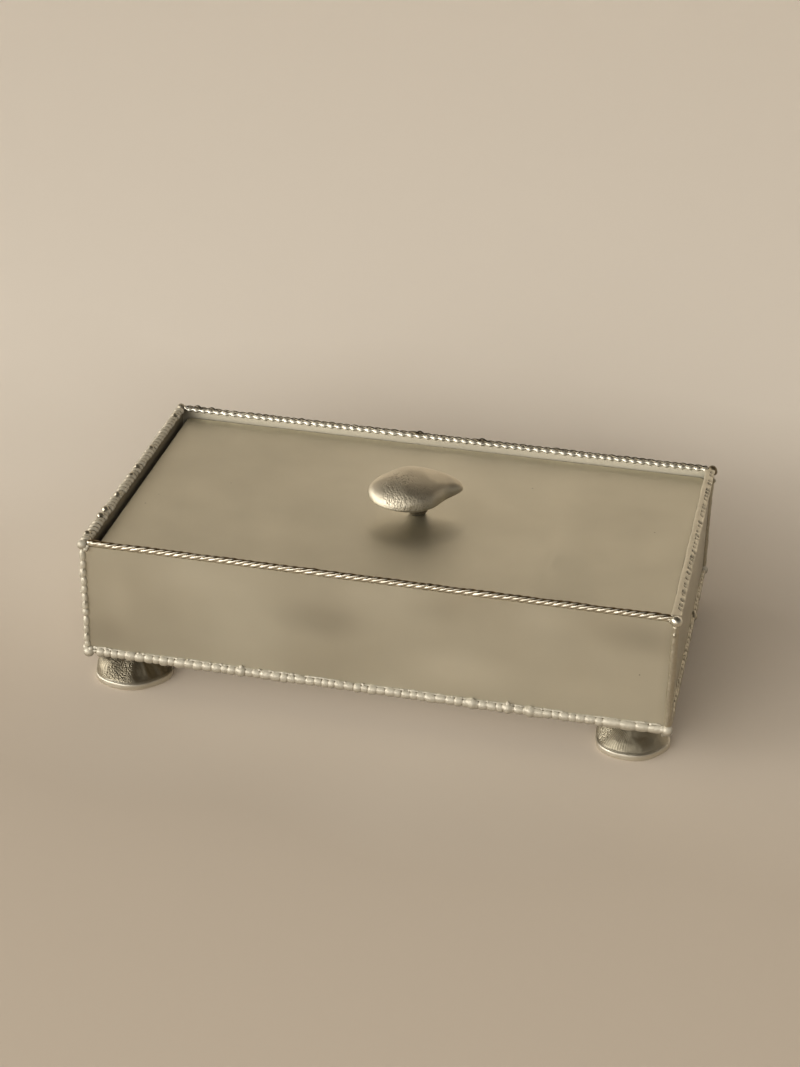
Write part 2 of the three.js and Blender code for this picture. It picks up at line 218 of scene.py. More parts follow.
paper_line = [(PAPER_FRONT, 0.0), (PAPER_BEND_START, 0.0)]
for i in range(1, PAPER_BEND_STEPS + 1):
    bend = math.radians(90) * i / PAPER_BEND_STEPS
    paper_line.append((
        PAPER_BEND_START + PAPER_BEND_RADIUS * math.sin(bend),
        PAPER_BEND_RADIUS * (1 - math.cos(bend)),
    ))
paper_line.append((PAPER_BEND_START + PAPER_BEND_RADIUS, PAPER_TOP))
paper_points = [(x, y, z) for y, z in paper_line for x in (-PAPER_HALF_WIDTH, PAPER_HALF_WIDTH)]
paper_faces = [(2 * i, 2 * i + 1, 2 * i + 3, 2 * i + 2) for i in range(len(paper_line) - 1)]
paper_mesh = bpy.data.meshes.new("paper_sweep")
paper_mesh.from_pydata(paper_points, [], paper_faces)
paper_mesh.shade_smooth()
paper = bpy.data.objects.new("paper_sweep", paper_mesh)
scene.collection.objects.link(paper)
paper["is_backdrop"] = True

paper_finish, tree, shader = new_finish("beige_paper")
place = add(tree, "ShaderNodeTexCoord", {})["Object"]
away = add(tree, "ShaderNodeSeparateXYZ", {"Vector": place})["Y"]
clouds = add(tree, "ShaderNodeTexNoise", {"Vector": place, "Scale": 3.5, "Detail": 2.0})["Fac"]
wavering = {0: clouds, 1: PAPER_WAVER, 2: away}
# The tone grows with the distance from the camera: painted light on the paper further back.
tone = add(tree, "ShaderNodeMath", wavering, operation="MULTIPLY_ADD")["Value"]
paper_tint_with_painted_light = ramp(tree, tone, PAPER_TINTS_WITH_PAINTED_LIGHT)
wire(tree, shader, {"Base Color": paper_tint_with_painted_light, "Roughness": 0.85, "Specular IOR Level": 0.2})
paper_mesh.materials.append(paper_finish)
print("paper sweep of", len(paper_faces), "strips, upright from y", PAPER_BEND_START + PAPER_BEND_RADIUS)

# %% [markdown]
# Metal has hardly a colour of its own: it shows the room, sharp or blurred. So the room matters more
# than the metal here. A large low window lights the box from the left and from the front, and the
# ceiling is dark. That is why the flanks of the solder shine while its top stays dark, and why the
# knob has one highlight low on its left. The world's background gives the window's glow near the
# horizon and the dark ceiling. One area lamp stands in the window and gives the shadow that falls to
# the right. A second one fills the front softly; it lights the paper and the dull solder, and it is
# kept out of reflections, so it doesn't show in the metal.

# %% Light the room
ROOM_TINT = (1.0, 0.965, 0.9)
CEILING_TINT = (1.0, 0.82, 0.6)
GLOW_FROM = Vector((-0.84, -0.54, 0))
GLOW = 2.8
LOW_SKY_ENDS = (0.45, 0.64)
GLOW_EDGE = (0.22, 0.95)
CEILING_STRENGTH = (0.25, 0.07)
CEILING_SPAN = (0.2, 0.75)
# Place, width, height and power of the two lamps
WINDOW = (Vector((-1.9, -1.15, 0.85)), 1.6, 1.1, 15.5)
FILL = (Vector((-0.1, -2.4, 0.85)), 3.0, 1.1, 68)
scene.view_settings.view_transform = "Standard"

room = bpy.data.worlds.new("room")
room.use_nodes = True
scene.world = room
tree = room.node_tree
looking = add(tree, "ShaderNodeTexCoord", {})["Generated"]
steep = add(tree, "ShaderNodeSeparateXYZ", {"Vector": looking})["Z"]
facing = add(tree, "ShaderNodeVectorMath", {0: looking, 1: GLOW_FROM}, operation="DOT_PRODUCT")["Value"]
low_sky = between(tree, steep, 1.0, 0.0, *LOW_SKY_ENDS, "SMOOTHSTEP")
window_glow = between(tree, facing, 0.0, GLOW, *GLOW_EDGE, "SMOOTHSTEP")
ceiling = between(tree, steep, *CEILING_STRENGTH, *CEILING_SPAN, "SMOOTHSTEP")
brightness = {0: low_sky, 1: window_glow, 2: ceiling}
wire(tree, tree.nodes["Background"], {
    "Color": blended(tree, low_sky, (*CEILING_TINT, 1), ROOM_TINT),
    "Strength": add(tree, "ShaderNodeMath", brightness, operation="MULTIPLY_ADD")["Value"],
})


def add_lamp(name, place, width, height, power):
    """A soft area lamp that looks at the box."""
    lamp_data = bpy.data.lights.new(name, "AREA")
    lamp_data.shape = "RECTANGLE"
    lamp_data.size = width
    lamp_data.size_y = height
    lamp_data.energy = power
    lamp_data.color = ROOM_TINT
    lamp = bpy.data.objects.new(name, lamp_data)
    scene.collection.objects.link(lamp)
    lamp.location = place
    lamp.rotation_mode = "QUATERNION"
    lamp.rotation_quaternion = place.to_track_quat("Z", "Y")
    return lamp


window = add_lamp("window", *WINDOW)
fill = add_lamp("fill", *FILL)
fill.visible_glossy = False
print("lamps:", [(lamp.name, [round(v, 2) for v in lamp.location]) for lamp in (window, fill)])

# %% [markdown]
# The first finish is the sheet itself: rolled metal, rubbed to a satin. Seen close, it is cloudy
# rather than plain, because the rubbing left some patches duller than others, and here and there it
# has a tiny dark speck of flux. A single grey would look like plastic, so the tint and the roughness
# each follow a slow cloud, a faint grain gives the rubbed surface its blur, and a sparse field of
# cells sets the specks. Where a patch is large enough to have a place of its own, it is listed and
# laid over the cloud as a soft ellipsoid: ten on the front and one over the lid. One more on the
# right wall is painted shade, which darkens the wall on the side away from the window.

# %% Helpers: clouds, dents and soft spots
def place_on(tree):
    """The place of a spot on the frame, in metres."""
    return add(tree, "ShaderNodeTexCoord", {})["Object"]


def cloud(tree, size, detail=2.0):
    """A soft noise whose patches are about that many millimetres across."""
    settings = {"Vector": place_on(tree), "Scale": 1 / (size * MM), "Detail": detail}
    return add(tree, "ShaderNodeTexNoise", settings)["Fac"]


def dented(tree, source, depth, under=None):
    """A bump whose full height is that many millimetres, laid over another one if given."""
    settings = {"Height": source, "Distance": depth * MM}
    if under is not None:
        settings["Normal"] = under
    return add(tree, "ShaderNodeBump", settings)["Normal"]


def soft_spot(tree, middle, halves, strength):
    """A soft ellipsoid in millimetres, which rises to a strength in its middle."""
    box = {"Vector": place_on(tree), "Location": Vector(middle) * MM, "Scale": Vector(halves) * MM}
    inside = add(tree, "ShaderNodeMapping", box, vector_type="TEXTURE")["Vector"]
    ball = add(tree, "ShaderNodeTexGradient", {"Vector": inside}, gradient_type="SPHERICAL")["Fac"]
    return between(tree, ball, 0.0, strength, 0.0, 1.0, "SMOOTHSTEP")


def added(tree, first, second):
    """The sum of two values."""
    return add(tree, "ShaderNodeMath", {0: first, 1: second})["Value"]


print("finishes are measured in millimetres, so a cloud of 70 has a scale of", round(1 / (70 * MM), 1))

# %% Satin sheet: the rubbed patches and a painted shade
# Patches of the front: place along and up, half width and half height, lighter or darker
FRONT_PATCHES = [
    (-22, 46, 30, 12, -0.30),
    (-6, 61, 14, 8, 0.14),
    (40, 30, 36, 14, 0.34),
    (111, 57, 26, 13, -0.40),
    (25, 58, 20, 10, -0.16),
    (-119, 25, 16, 14, -0.24),
    (-110, 45, 9, 18, 0.16),
    (72, 60, 22, 9, 0.14),
    (88, 28, 28, 11, 0.16),
    (-73, 57, 30, 11, 0.12),
]
PATCH_DEPTH = 12
SHEET_CLOUD = 75
SHEET_TINTS = [
    (0.15, 0.48, 0.448, 0.36),
    (0.5, 0.575, 0.541, 0.438),
    (0.9, 0.662, 0.625, 0.513),
]

patches = [
    ((along, -side_y, high), (half_width, PATCH_DEPTH, half_height), shift)
    for along, high, half_width, half_height, shift in FRONT_PATCHES
]
lid_patch = (25, 55, 63.5), (190, 62, 8), 0.36
# The right wall's patch is painted shade: it darkens the wall on the side away from the window.
right_wall_painted_shade = (side_x, 0, wall_top_z / 2), (6, 200, 70), -0.42
patches += [lid_patch, right_wall_painted_shade]

satin_sheet, tree, shader = new_finish("satin_sheet")
# The patches include the painted shade on the right wall.
rubbed_tone_and_painted_shade = cloud(tree, SHEET_CLOUD, 3)
for patch in patches:
    rubbed_tone_and_painted_shade = added(tree, rubbed_tone_and_painted_shade, soft_spot(tree, *patch))
sheet_tint = ramp(tree, rubbed_tone_and_painted_shade, SHEET_TINTS)
print("satin sheet with", len(patches), "patches")

# %% [markdown]
# Inside, above the lid, the back sheet gets a dull tint that the lamps light pale, the left one is
# painted brown as shade, and the corner between them is painted nearly black as shadow. Soft spots as
# thin as the sheets do this, and where they lie the finish is also less of a metal. Specks and grain
# come last.

# %% Satin sheet: the inside with its painted shade, specks and grain
INSIDE_HIGH = 66
INSIDE_HALF_HEIGHT = 10
BACK_TINT = (0.46, 0.418, 0.33)
# The left tint is painted shade on the inside of the left wall; the corner tint is a painted shadow.
LEFT_INSIDE_SHADE_TINT = (0.33, 0.265, 0.165)
CORNER_SHADOW_TINT = (0.1, 0.08, 0.05)
SPECK_TINT = (0.2, 0.18, 0.13)
SPECK_PITCH = 15
WAVE_CLOUD, WAVE_DEPTH = 60, 0.25
GRAIN_CLOUD, GRAIN_DEPTH = 0.6, 0.004
RUB_CLOUD = 42
SATIN_SHINE = (0.45, 0.55)

inner_x, inner_y = sheet_thick - side_x, side_y - sheet_thick
back_strip = soft_spot(tree, (0, inner_y, INSIDE_HIGH), (400, 1.0, INSIDE_HALF_HEIGHT), 1.0)
# Painted shade on the inner left wall, and a painted shadow in the back-left corner.
left_inside_shade = soft_spot(tree, (inner_x, 0, INSIDE_HIGH), (1.0, 400, INSIDE_HALF_HEIGHT), 1.0)
corner_shadow = soft_spot(tree, (inner_x, inner_y, INSIDE_HIGH), (13, 1.5, INSIDE_HALF_HEIGHT), 0.9)
cells = {"Vector": place_on(tree), "Scale": 1 / (SPECK_PITCH * MM)}
from_cell_middle = add(tree, "ShaderNodeTexVoronoi", cells)["Distance"]
specks = between(tree, from_cell_middle, 0.75, 0.0, 0.012, 0.03)
# Painted shade and shadow inside, then real specks of flux.
stains_and_painted_shade = [
    (back_strip, BACK_TINT), (left_inside_shade, LEFT_INSIDE_SHADE_TINT), (corner_shadow, CORNER_SHADOW_TINT), (specks, SPECK_TINT)
]
for share, stain in stains_and_painted_shade:
    sheet_tint = blended(tree, share, sheet_tint, stain)
wave = dented(tree, cloud(tree, WAVE_CLOUD, 1), WAVE_DEPTH)
wire(tree, shader, {
    "Base Color": sheet_tint,
    "Metallic": between(tree, added(tree, back_strip, left_inside_shade), 1.0, 0.3, 0.0, 1.0),
    "Roughness": between(tree, cloud(tree, RUB_CLOUD, 3), *SATIN_SHINE),
    "Normal": dented(tree, cloud(tree, GRAIN_CLOUD, 2), GRAIN_DEPTH, wave),
})
print("satin sheet finish with", len(tree.nodes), "nodes")

# %% [markdown]
# Solder set from a liquid and was never rubbed as hard as the sheet. It is dark in its creases, partly
# from a brown patina where the polishing cloth does not reach and partly as painted shade, and bright
# on its crests. Blender can find creases by itself: the Geometry node's Pointiness is low in a hollow
# and high on a crest, as long as the mesh is fine enough to have real hollows. All the solder below
# is. The edges were not polished alike, so one recipe is mixed eleven times: bright ropes and balls,
# chalky pearls and seams, dull coins, and dark nicks. Painted shade darkens the tops of the ropes: on
# the front one where the solder faces up, on the back one above a height. Painted shade also darkens
# the underside of the pearls.

# %% Helper: one recipe for solder
# Tints of painted shade: brown for slopes that face up, near black above a height, and for undersides.
PAINTED_TOP_SHADE = (0.2, 0.128, 0.046)
PAINTED_BLACK_SHADE = (0.045, 0.032, 0.015)
PAINTED_UNDERSIDE_SHADE = (0.17, 0.142, 0.098)
FLANK_AT, CREST_AT = 0.49, 0.525
STAIN_CLOUD, SHINE_CLOUD, SOLDER_GRAIN = 8, 3.2, 0.9


def patina_and_crease_shade(tree, stops):
    """Colour by how far a spot stands out: hollows first, crests last; dark hollows are partly patina and
    partly painted shade.
    """
    return ramp(tree, add(tree, "ShaderNodeNewGeometry", {})["Pointiness"], stops)


def upright_part(tree, source):
    """The upright part of a place or a direction."""
    return add(tree, "ShaderNodeSeparateXYZ", {"Vector": source})["Z"]


def facing_up(tree):
    """How far a surface faces up, from -1 to 1."""
    return upright_part(tree, add(tree, "ShaderNodeNewGeometry", {})["Normal"])


def height(tree):
    """The height above the floor, in metres."""
    return upright_part(tree, place_on(tree))


def solder_finish(name, tints, shine, grain, bare=1.0, painted_shade_facing_up=None, painted_shade_above=None, under=None, deep=0.44):
    """Solder, by tints of hollow, flank, crest and stain, roughness, grain and share of bare metal.

    It may have painted shade on slopes that face up and above a height, and painted shade on its underside.
    """
    finish, tree, shader = new_finish(name)
    hollow, flank, crest, stain = tints
    tint = patina_and_crease_shade(tree, [(deep, *hollow), (FLANK_AT, *flank), (CREST_AT, *crest)])
    tint = blended(tree, between(tree, cloud(tree, STAIN_CLOUD, 3), 0.0, 0.35, 0.5, 0.75), tint, stain)
    # Painted shade on slopes that face up, and near black above a height.
    if painted_shade_facing_up is not None:
        tint = blended(tree, between(tree, facing_up(tree), 0.0, 0.92, *painted_shade_facing_up), tint, PAINTED_TOP_SHADE)
    if painted_shade_above is not None:
        start, end = (high * MM for high in painted_shade_above)
        tint = blended(tree, between(tree, height(tree), 0.0, 0.95, start, end), tint, PAINTED_BLACK_SHADE)
    # Painted shade on the underside.
    if under is not None:
        tint = blended(tree, between(tree, facing_up(tree), 0.75, 0.0, *under), tint, PAINTED_UNDERSIDE_SHADE)
    wire(tree, shader, {
        "Base Color": tint,
        "Metallic": bare,
        "Roughness": between(tree, cloud(tree, SHINE_CLOUD, 2), *shine),
        "Normal": dented(tree, cloud(tree, SOLDER_GRAIN, 3), grain),
    })
    return finish


print("solder recipe ready, with soot", PAINTED_TOP_SHADE, "and black soot", PAINTED_BLACK_SHADE)

# %% Solder finishes
back_rope_axis = (span("rim_rope_back")[0][2] + span("rim_rope_back")[1][2]) / 2
# Above these heights the back rope is painted near black: painted shade on its top.
BACK_ROPE_SHADE_HEIGHTS = (back_rope_axis + 0.22, back_rope_axis + 0.42)
# Tints of hollow, flank, crest and stain, then roughness from and to, then the depth of the grain
SOLDERS = {
    "front_rope": (
        [(0.1, 0.068, 0.03), (0.5, 0.45, 0.34), (0.8, 0.755, 0.645), (0.4, 0.355, 0.26)], (0.26, 0.4), 0.04,
    ),
    "back_rope": (
        [(0.07, 0.052, 0.025), (0.76, 0.71, 0.59), (0.9, 0.86, 0.76), (0.56, 0.51, 0.4)], (0.26, 0.4), 0.04,
    ),
    "pearl": (
        [(0.1, 0.078, 0.046), (0.43, 0.395, 0.318), (0.53, 0.492, 0.404), (0.39, 0.356, 0.283)],
        (0.34, 0.48), 0.05,
    ),
    "patina": (
        [(0.2, 0.17, 0.115), (0.4, 0.362, 0.28), (0.5, 0.46, 0.365), (0.31, 0.275, 0.2)], (0.4, 0.54), 0.05,
    ),
    "coin": (
        [(0.1, 0.082, 0.052), (0.41, 0.372, 0.29), (0.53, 0.486, 0.39), (0.31, 0.275, 0.202)],
        (0.4, 0.54), 0.05,
    ),
    "pressed": (
        [(0.05, 0.036, 0.018), (0.58, 0.54, 0.437), (0.68, 0.64, 0.53), (0.52, 0.48, 0.38)],
        (0.44, 0.56), 0.05,
    ),
    "seam": (
        [(0.26, 0.23, 0.165), (0.48, 0.445, 0.36), (0.56, 0.525, 0.43), (0.42, 0.385, 0.3)],
        (0.46, 0.6), 0.05,
    ),
    "ball": (
        [(0.08, 0.07, 0.045), (0.56, 0.53, 0.435), (0.7, 0.67, 0.58), (0.5, 0.465, 0.375)], (0.2, 0.34), 0.03,
    ),
    "rim_ball": (
        [(0.06, 0.05, 0.03), (0.42, 0.38, 0.29), (0.54, 0.5, 0.4), (0.36, 0.32, 0.23)], (0.26, 0.38), 0.02,
    ),
    "dark": (
        [(0.03, 0.022, 0.01), (0.12, 0.092, 0.05), (0.3, 0.25, 0.165), (0.11, 0.085, 0.045)],
        (0.3, 0.42), 0.05,
    ),
    "nick": (
        [(0.04, 0.027, 0.012), (0.13, 0.098, 0.055), (0.24, 0.195, 0.125), (0.11, 0.083, 0.046)],
        (0.5, 0.65), 0.05,
    ),
}
# The rope tops and the pearls' undersides get painted shade, and a higher deep stop widens the dark creases,
# which are partly painted shade.
SPECIAL = {
    "front_rope": {"painted_shade_facing_up": (0.5, 0.76)},
    "back_rope": {"painted_shade_above": BACK_ROPE_SHADE_HEIGHTS, "deep": 0.46},
    "pearl": {"bare": 0.3, "under": (-0.25, 0.72), "deep": 0.47},
    "coin": {"bare": 0.5, "deep": 0.468},
    "seam": {"bare": 0.7},
}
solder = {
    kind: solder_finish(f"{kind}_solder", *recipe, **SPECIAL.get(kind, {}))
    for kind, recipe in SOLDERS.items()
}
print("solder finishes from one recipe:", len(solder))

# %% [markdown]
# The pebbles are cast, and the mould left them grainy in places and smooth in others. The grain is
# made twice: the larger pits are real hollows in the mesh further down, and this finish only adds
# what is finer than that. Pits are darker than the smooth skin between them. The neck gets a darker
# copy of this pewter, as painted shade under the knob. The feet have a lip at the bottom, and their
# finish is paler up to the lip's height.

# %% Cast pewter finishes
LIP_HIGH = 3.2
LIP_TINT = (0.72, 0.68, 0.58)
PIT_AT, SKIN_AT, TOP_AT = 0.43, 0.49, 0.55
# Tints of pit, skin and crest, roughness from and to, and whether there is a paler lip
PEWTERS = {
    "cast": ((0.15, 0.125, 0.08), (0.59, 0.535, 0.422), (0.66, 0.605, 0.486), (0.43, 0.55), False),
    # The neck is a darker copy of the cast pewter: painted shade under the knob.
    "neck": ((0.06, 0.05, 0.035), (0.2, 0.18, 0.14), (0.34, 0.31, 0.25), (0.4, 0.55), False),
    "foot": ((0.06, 0.046, 0.022), (0.28, 0.25, 0.187), (0.43, 0.378, 0.28), (0.42, 0.58), True),
    "pale_foot": ((0.09, 0.07, 0.036), (0.4, 0.362, 0.275), (0.52, 0.468, 0.355), (0.44, 0.6), True),
}


def pewter_finish(name, pit, smooth, crest, shine, has_lip):
    """Cast pewter with tints from pit to crest and a span of roughness."""
    finish, tree, shader = new_finish(name)
    tint = patina_and_crease_shade(tree, [(PIT_AT, *pit), (SKIN_AT, *smooth), (TOP_AT, *crest)])
    if has_lip:
        on_lip = between(tree, height(tree), 0.85, 0.0, (LIP_HIGH - 0.3) * MM, (LIP_HIGH + 0.5) * MM)
        tint = blended(tree, on_lip, tint, LIP_TINT)
    wire(tree, shader, {
        "Base Color": tint,
        "Metallic": 1.0,
        "Roughness": between(tree, cloud(tree, 5, 3), *shine),
        "Normal": dented(tree, cloud(tree, 0.7, 3), 0.05),
    })
    return finish


pewter = {kind: pewter_finish(f"{kind}_pewter", *recipe) for kind, recipe in PEWTERS.items()}
print("pewter finishes:", [finish.name for finish in pewter.values()])

# %% [markdown]
# The sheets themselves need no new shape: the frame's panels are already the right plates. They get
# the satin finish, and a narrow bevel, because a cut and rubbed edge is never knife sharp and
# catches a thin line of light. A bevel modifier does that without touching the plate's own mesh.

# %% Dress the sheets
SHEETS = ["front_wall", "back_wall", "left_wall", "right_wall", "base_panel"]
SHEETS += ["lid_panel", "lid_ledge_front", "lid_ledge_back"]
EDGE_RUB = 0.18

for node in SHEETS:
    plate = frame["nodes"][node]
    plate.data.materials.clear()
    plate.data.materials.append(satin_sheet)
    rub = plate.modifiers.new("rubbed_edge", "BEVEL")
    rub.width = EDGE_RUB * MM
    rub.segments = 2
    rub.limit_method = "ANGLE"
print("dressed", len(SHEETS), "sheets")

# %% [markdown]
# Everything else on the box is solder or casting, and most of it follows a straight edge. Such a run
# could be modelled as a curve with a bevel, but a curve's section stays the same all along, and no
# two millimetres of this solder are alike. So a run is made as a skin: a row of rings along the
# edge, and for every ring and every angle round it a reach, which says how far the solder stands out
# there. What makes a rope, a pearl string or a nicked band is only the rule for that reach.

# %% Helpers: close rings of points into a skin
def skin(name, rings, finish, slot, body):
    """Joins rings, given in millimetres, into a closed smooth piece that stands for its node."""
    count, around = rings.shape[:2]
    points = np.concatenate([rings.reshape(-1, 3), [rings[0].mean(0), rings[-1].mean(0)]])
    first, last = count * around, count * around + 1
    faces = []
    for i in range(count - 1):
        for j in range(around):
            k = (j + 1) % around
            faces.append((i * around + j, i * around + k, (i + 1) * around + k, (i + 1) * around + j))
    for j in range(around):
        k = (j + 1) % around
        faces.append((first, k, j))
        faces.append((last, (count - 1) * around + j, (count - 1) * around + k))
    corners = [(face[0], face[i], face[i + 1]) for face in faces for i in range(1, len(face) - 1)]
    a, b, c = (points[[corner[i] for corner in corners]] for i in range(3))
    inside_out = np.einsum("ij,ij->", a, np.cross(b, c)) < 0
    if inside_out:
        faces = [tuple(reversed(face)) for face in faces]
    mesh = bpy.data.meshes.new(name)
    mesh.from_pydata((points * MM).tolist(), [], faces)
    mesh.shade_smooth()
    mesh.materials.append(finish)
    piece = bpy.data.objects.new(name, mesh)
    scene.collection.objects.link(piece)
    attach(piece, body)
    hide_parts(name)
    return piece


def all_round(count):
    """Angles once round, as a row."""
    return np.linspace(0, 2 * np.pi, count, endpoint=False)[None, :]


def turn_from(angle, middle):
    """How far an angle is from a middle direction, in radians, either way round."""
    return np.abs((angle - middle + np.pi) % (2 * np.pi) - np.pi)


def unevenness(points, size, seed):
    """Smooth seeded lumps of about that size in millimetres, from -1 to 1, at each point."""
    shift = Vector((seed * 17.3, seed * 5.1, seed * 9.7))
    values = [noise.noise(Vector(point) + shift) for point in (points.reshape(-1, 3) / size).tolist()]
    return np.array(values).reshape(points.shape[:-1])


print("skins are closed and turned outward by", skin.__name__)

# %% [markdown]
# A run of solder is that skin along a straight edge. Three directions describe it: along the edge,
# out from the box, and up. Its ends are drawn in like the end of a candle and reach a little way
# into the balls at the corners, so no run stops with a flat cut. A fine seeded unevenness keeps the
# surface from looking machined.

# %% Helpers: a run of solder along an edge
RING_STEP = 0.28
RUN_END = 1.3
RUN_INTO_BALL = 1.0
RUN_LUMPS = 1.1


def solder_run(name, finish, start, end, out, up, reach_at, around=36, flat=1.0, seed=1.0, rough=0.05):
    """A run from start to end whose reach, in millimetres, is given for each station and angle."""
    start, end, out, up = (np.array(v, float) for v in (start, end, out, up))
    length = np.linalg.norm(end - start)
    along = (end - start) / length
    full = length + 2 * RUN_INTO_BALL
    drawn_in = RUN_END * (1 - np.cos(np.radians(np.arange(8, 90, 9))))
    middle = np.arange(RUN_END, full - RUN_END, RING_STEP)
    stations = np.concatenate([drawn_in, middle, full - drawn_in[::-1]])
    s, a = stations[:, None] - RUN_INTO_BALL, all_round(around)
    room_left = np.clip(np.minimum(stations, full - stations) / RUN_END, 0, 1)[:, None]
    reach = reach_at(s, a) * np.sqrt(1 - (1 - room_left) ** 2)

    def placed(reach):
        outward = (reach * np.cos(a))[..., None] * out
        upward = (flat * reach * np.sin(a))[..., None] * up
        return start + s[..., None] * along + outward + upward

    reach = reach * (1 + rough * unevenness(placed(reach), RUN_LUMPS, seed))
    return skin(name, placed(reach), finish, "bright_solder", "box")


def melted(reaches, sharp=10):
    """Several shapes flowed into one: the largest reach, with a small fillet where two meet."""
    return sum(np.maximum(r, 1e-6) ** sharp for r in reaches) ** (1 / sharp)


print("a run has a ring every", RING_STEP, "mm and rounded ends of", RUN_END, "mm")

# %% [markdown]
# The front and back edges carry a rope of solder: four thin strands twisted together at the front,
# two at the back, with one strand showing every 3.7 mm. The front strands lean to the right and the
# back ones to the left, so each rope is twisted the other way. Separate helices would cross each
# other; as one skin, the reach at an angle is simply the farthest strand there. The hand is not
# even: the twist drifts, strands swell and thin out, here and there is a thick knot, and at its left
# end the front rope starts almost plain. Below, solder runs down to the edge that the rope stands
# on. At the back it runs down strand by strand, which gives the slanted white wedges on that rim.

# %% Solder ropes on the front and back rims
STRAND_PITCH = 3.7
PLAIN_REACH = 1.25
FOOT_REACH = 1.7
ROPE_AROUND = 44
STRAND_SHARP = 18
# Knots are (station, width, size)
FRONT_ROPE = {
    "node": "rim_rope_front", "finish": solder["front_rope"], "seed": 0.4, "hand": 1, "strands": 4,
    "thick": 0.6, "offset": 0.74, "size": 0.88, "tall": 1.26, "uneven": 0.3, "plain_until": 9,
    "foot_angle": -90, "foot_width": 0.5, "runs": 0.0,
    "knots": [(97, 1.6, 0.2), (210, 1.4, 0.12), (238, 2.5, 0.12)],
}
BACK_ROPE = {
    "node": "rim_rope_back", "finish": solder["back_rope"], "seed": 2.1, "hand": -1, "strands": 2,
    "thick": 0.75, "offset": 0.6, "size": 0.58, "tall": 1.1, "uneven": 0.4, "plain_until": -9,
    "foot_angle": -66, "foot_width": 0.72, "runs": 0.22,
    "knots": [
        (6, 1.8, 0.5), (13, 1.8, 0.35), (56, 1.6, 0.2), (112, 2.2, 0.75), (141, 2.2, 0.6), (177, 1.6, 0.2)
    ],
}


def twisted(rope, s, a, turn):
    """The reach of the farthest strand, where each strand swells and thins in its own time."""
    strands = []
    for k in range(rope["strands"]):
        lean = a - turn - 2 * np.pi * k / rope["strands"]
        swell = np.sin(s / 9.3 + 2.4 * k + rope["seed"]) + np.sin(s / 4.7 + 1.3 * k)
        thick = rope["thick"] * (1 + 0.3 * rope["uneven"] * swell)
        inside = thick**2 - (rope["offset"] * np.sin(lean)) ** 2
        strand = rope["offset"] * np.cos(lean) + np.sqrt(np.maximum(inside, 0))
        strands.append(np.where(inside > 0, strand, 0.3))
    return melted(strands, STRAND_SHARP)


def rope_reach(rope):
    """The reach of a twisted rope with its plain start, its knots and the solder below it."""
    uneven, seed = rope["uneven"], rope["seed"]

    def reach_at(s, a):
        drift = np.sin(s / 11.7 + 2 * seed) + 0.7 * np.sin(s / 6.1 + seed)
        wander = 0.7 * np.sin(s / 31 + seed) + uneven * drift
        turn = rope["hand"] * 2 * np.pi * s / (rope["strands"] * STRAND_PITCH) + wander
        plain = 0.8 * np.clip((rope["plain_until"] - s) / 5 + 0.5, 0, 1)
        reach = twisted(rope, s, a, turn) * (1 - plain) + PLAIN_REACH * plain
        reach = rope["size"] * reach * (1 + 0.05 * np.sin(s / 5.3 + 3 * seed) + 0.03 * np.sin(s / 2.9 + seed))
        on_top = np.maximum(0.25 + 0.75 * np.sin(a), 0)
        for station, width, more in rope["knots"]:
            reach = reach + more * np.exp(-(((s - station) / width) ** 2)) * on_top
        below = turn_from(a, math.radians(rope["foot_angle"])) / rope["foot_width"]
        runs = 1 + rope["runs"] * np.cos(rope["strands"] * (a - turn))
        return np.maximum(reach, FOOT_REACH * runs * np.exp(-(below**4)))
    return reach_at


for rope in (FRONT_ROPE, BACK_ROPE):
    low, high = span(rope["node"])
    _, middle_y, middle_z = (low + high) / 2
    ends = (low[0], middle_y, middle_z), (high[0], middle_y, middle_z)
    run = solder_run(
        rope["node"], rope["finish"], *ends, (0, -1, 0), UP, rope_reach(rope), ROPE_AROUND,
        flat=rope["tall"], seed=rope["seed"],
    )
    print(run.name, "with", rope["strands"], "strands,", len(run.data.polygons), "faces")

# %% [markdown]
# A bead is a drop that set round. Where two set side by side they flow into each other, so a string
# of beads is not a row of separate balls but one skin whose reach is the farthest drop, with a small
# fillet between neighbours. Drops may sit off the line, further out or higher up, they may be squarer
# than a ball, like a coin seen edge-on, they may lean, and they may have a tail on one side. That
# single rule makes every beaded edge of the box; only the list of drops differs.

# %% Helpers: drops of solder
def drop(s, a, station, half, radius, out=0.0, up=0.0, square=2.0, lean=0.0, tail=1.0):
    """The reach of one drop at a station, maybe off the line, squared, leaning or with a tail."""
    along = s - station - lean * np.sin(a)
    off = np.abs(along) / np.where(along > 0, half * tail, half)
    slice_radius = radius**2 * np.maximum(1 - off**square, 0) ** (2 / square)
    toward = out * np.cos(a) + up * np.sin(a)
    inside = slice_radius - out**2 - up**2 + toward**2
    reach = toward + np.sqrt(np.maximum(inside, 0))
    return np.where((inside > 0) & (slice_radius > 0), np.maximum(reach, 0), 0)


def drops_reach(drops, core, sharp=10, limit=None, ledge=None):
    """The reach of many melted drops over a thin core, maybe with a ledge, or held back by a limit."""
    def reach_at(s, a):
        total = np.full(np.broadcast_shapes(s.shape, a.shape), core**sharp)
        for station, half, *shape in drops:
            near = np.abs(s[:, 0] - station) < 2.5 * half + 1
            total[near] += drop(s[near], a, station, half, *shape) ** sharp
        if ledge is not None:
            total += ledge(s, a) ** sharp
        reach = total ** (1 / sharp)
        return reach if limit is None else np.minimum(reach, limit(s, a))
    return reach_at


print("one drop of radius 2 reaches", float(drop(np.zeros((1, 1)), np.zeros((1, 1)), 0, 2, 2)[0, 0]), "mm")

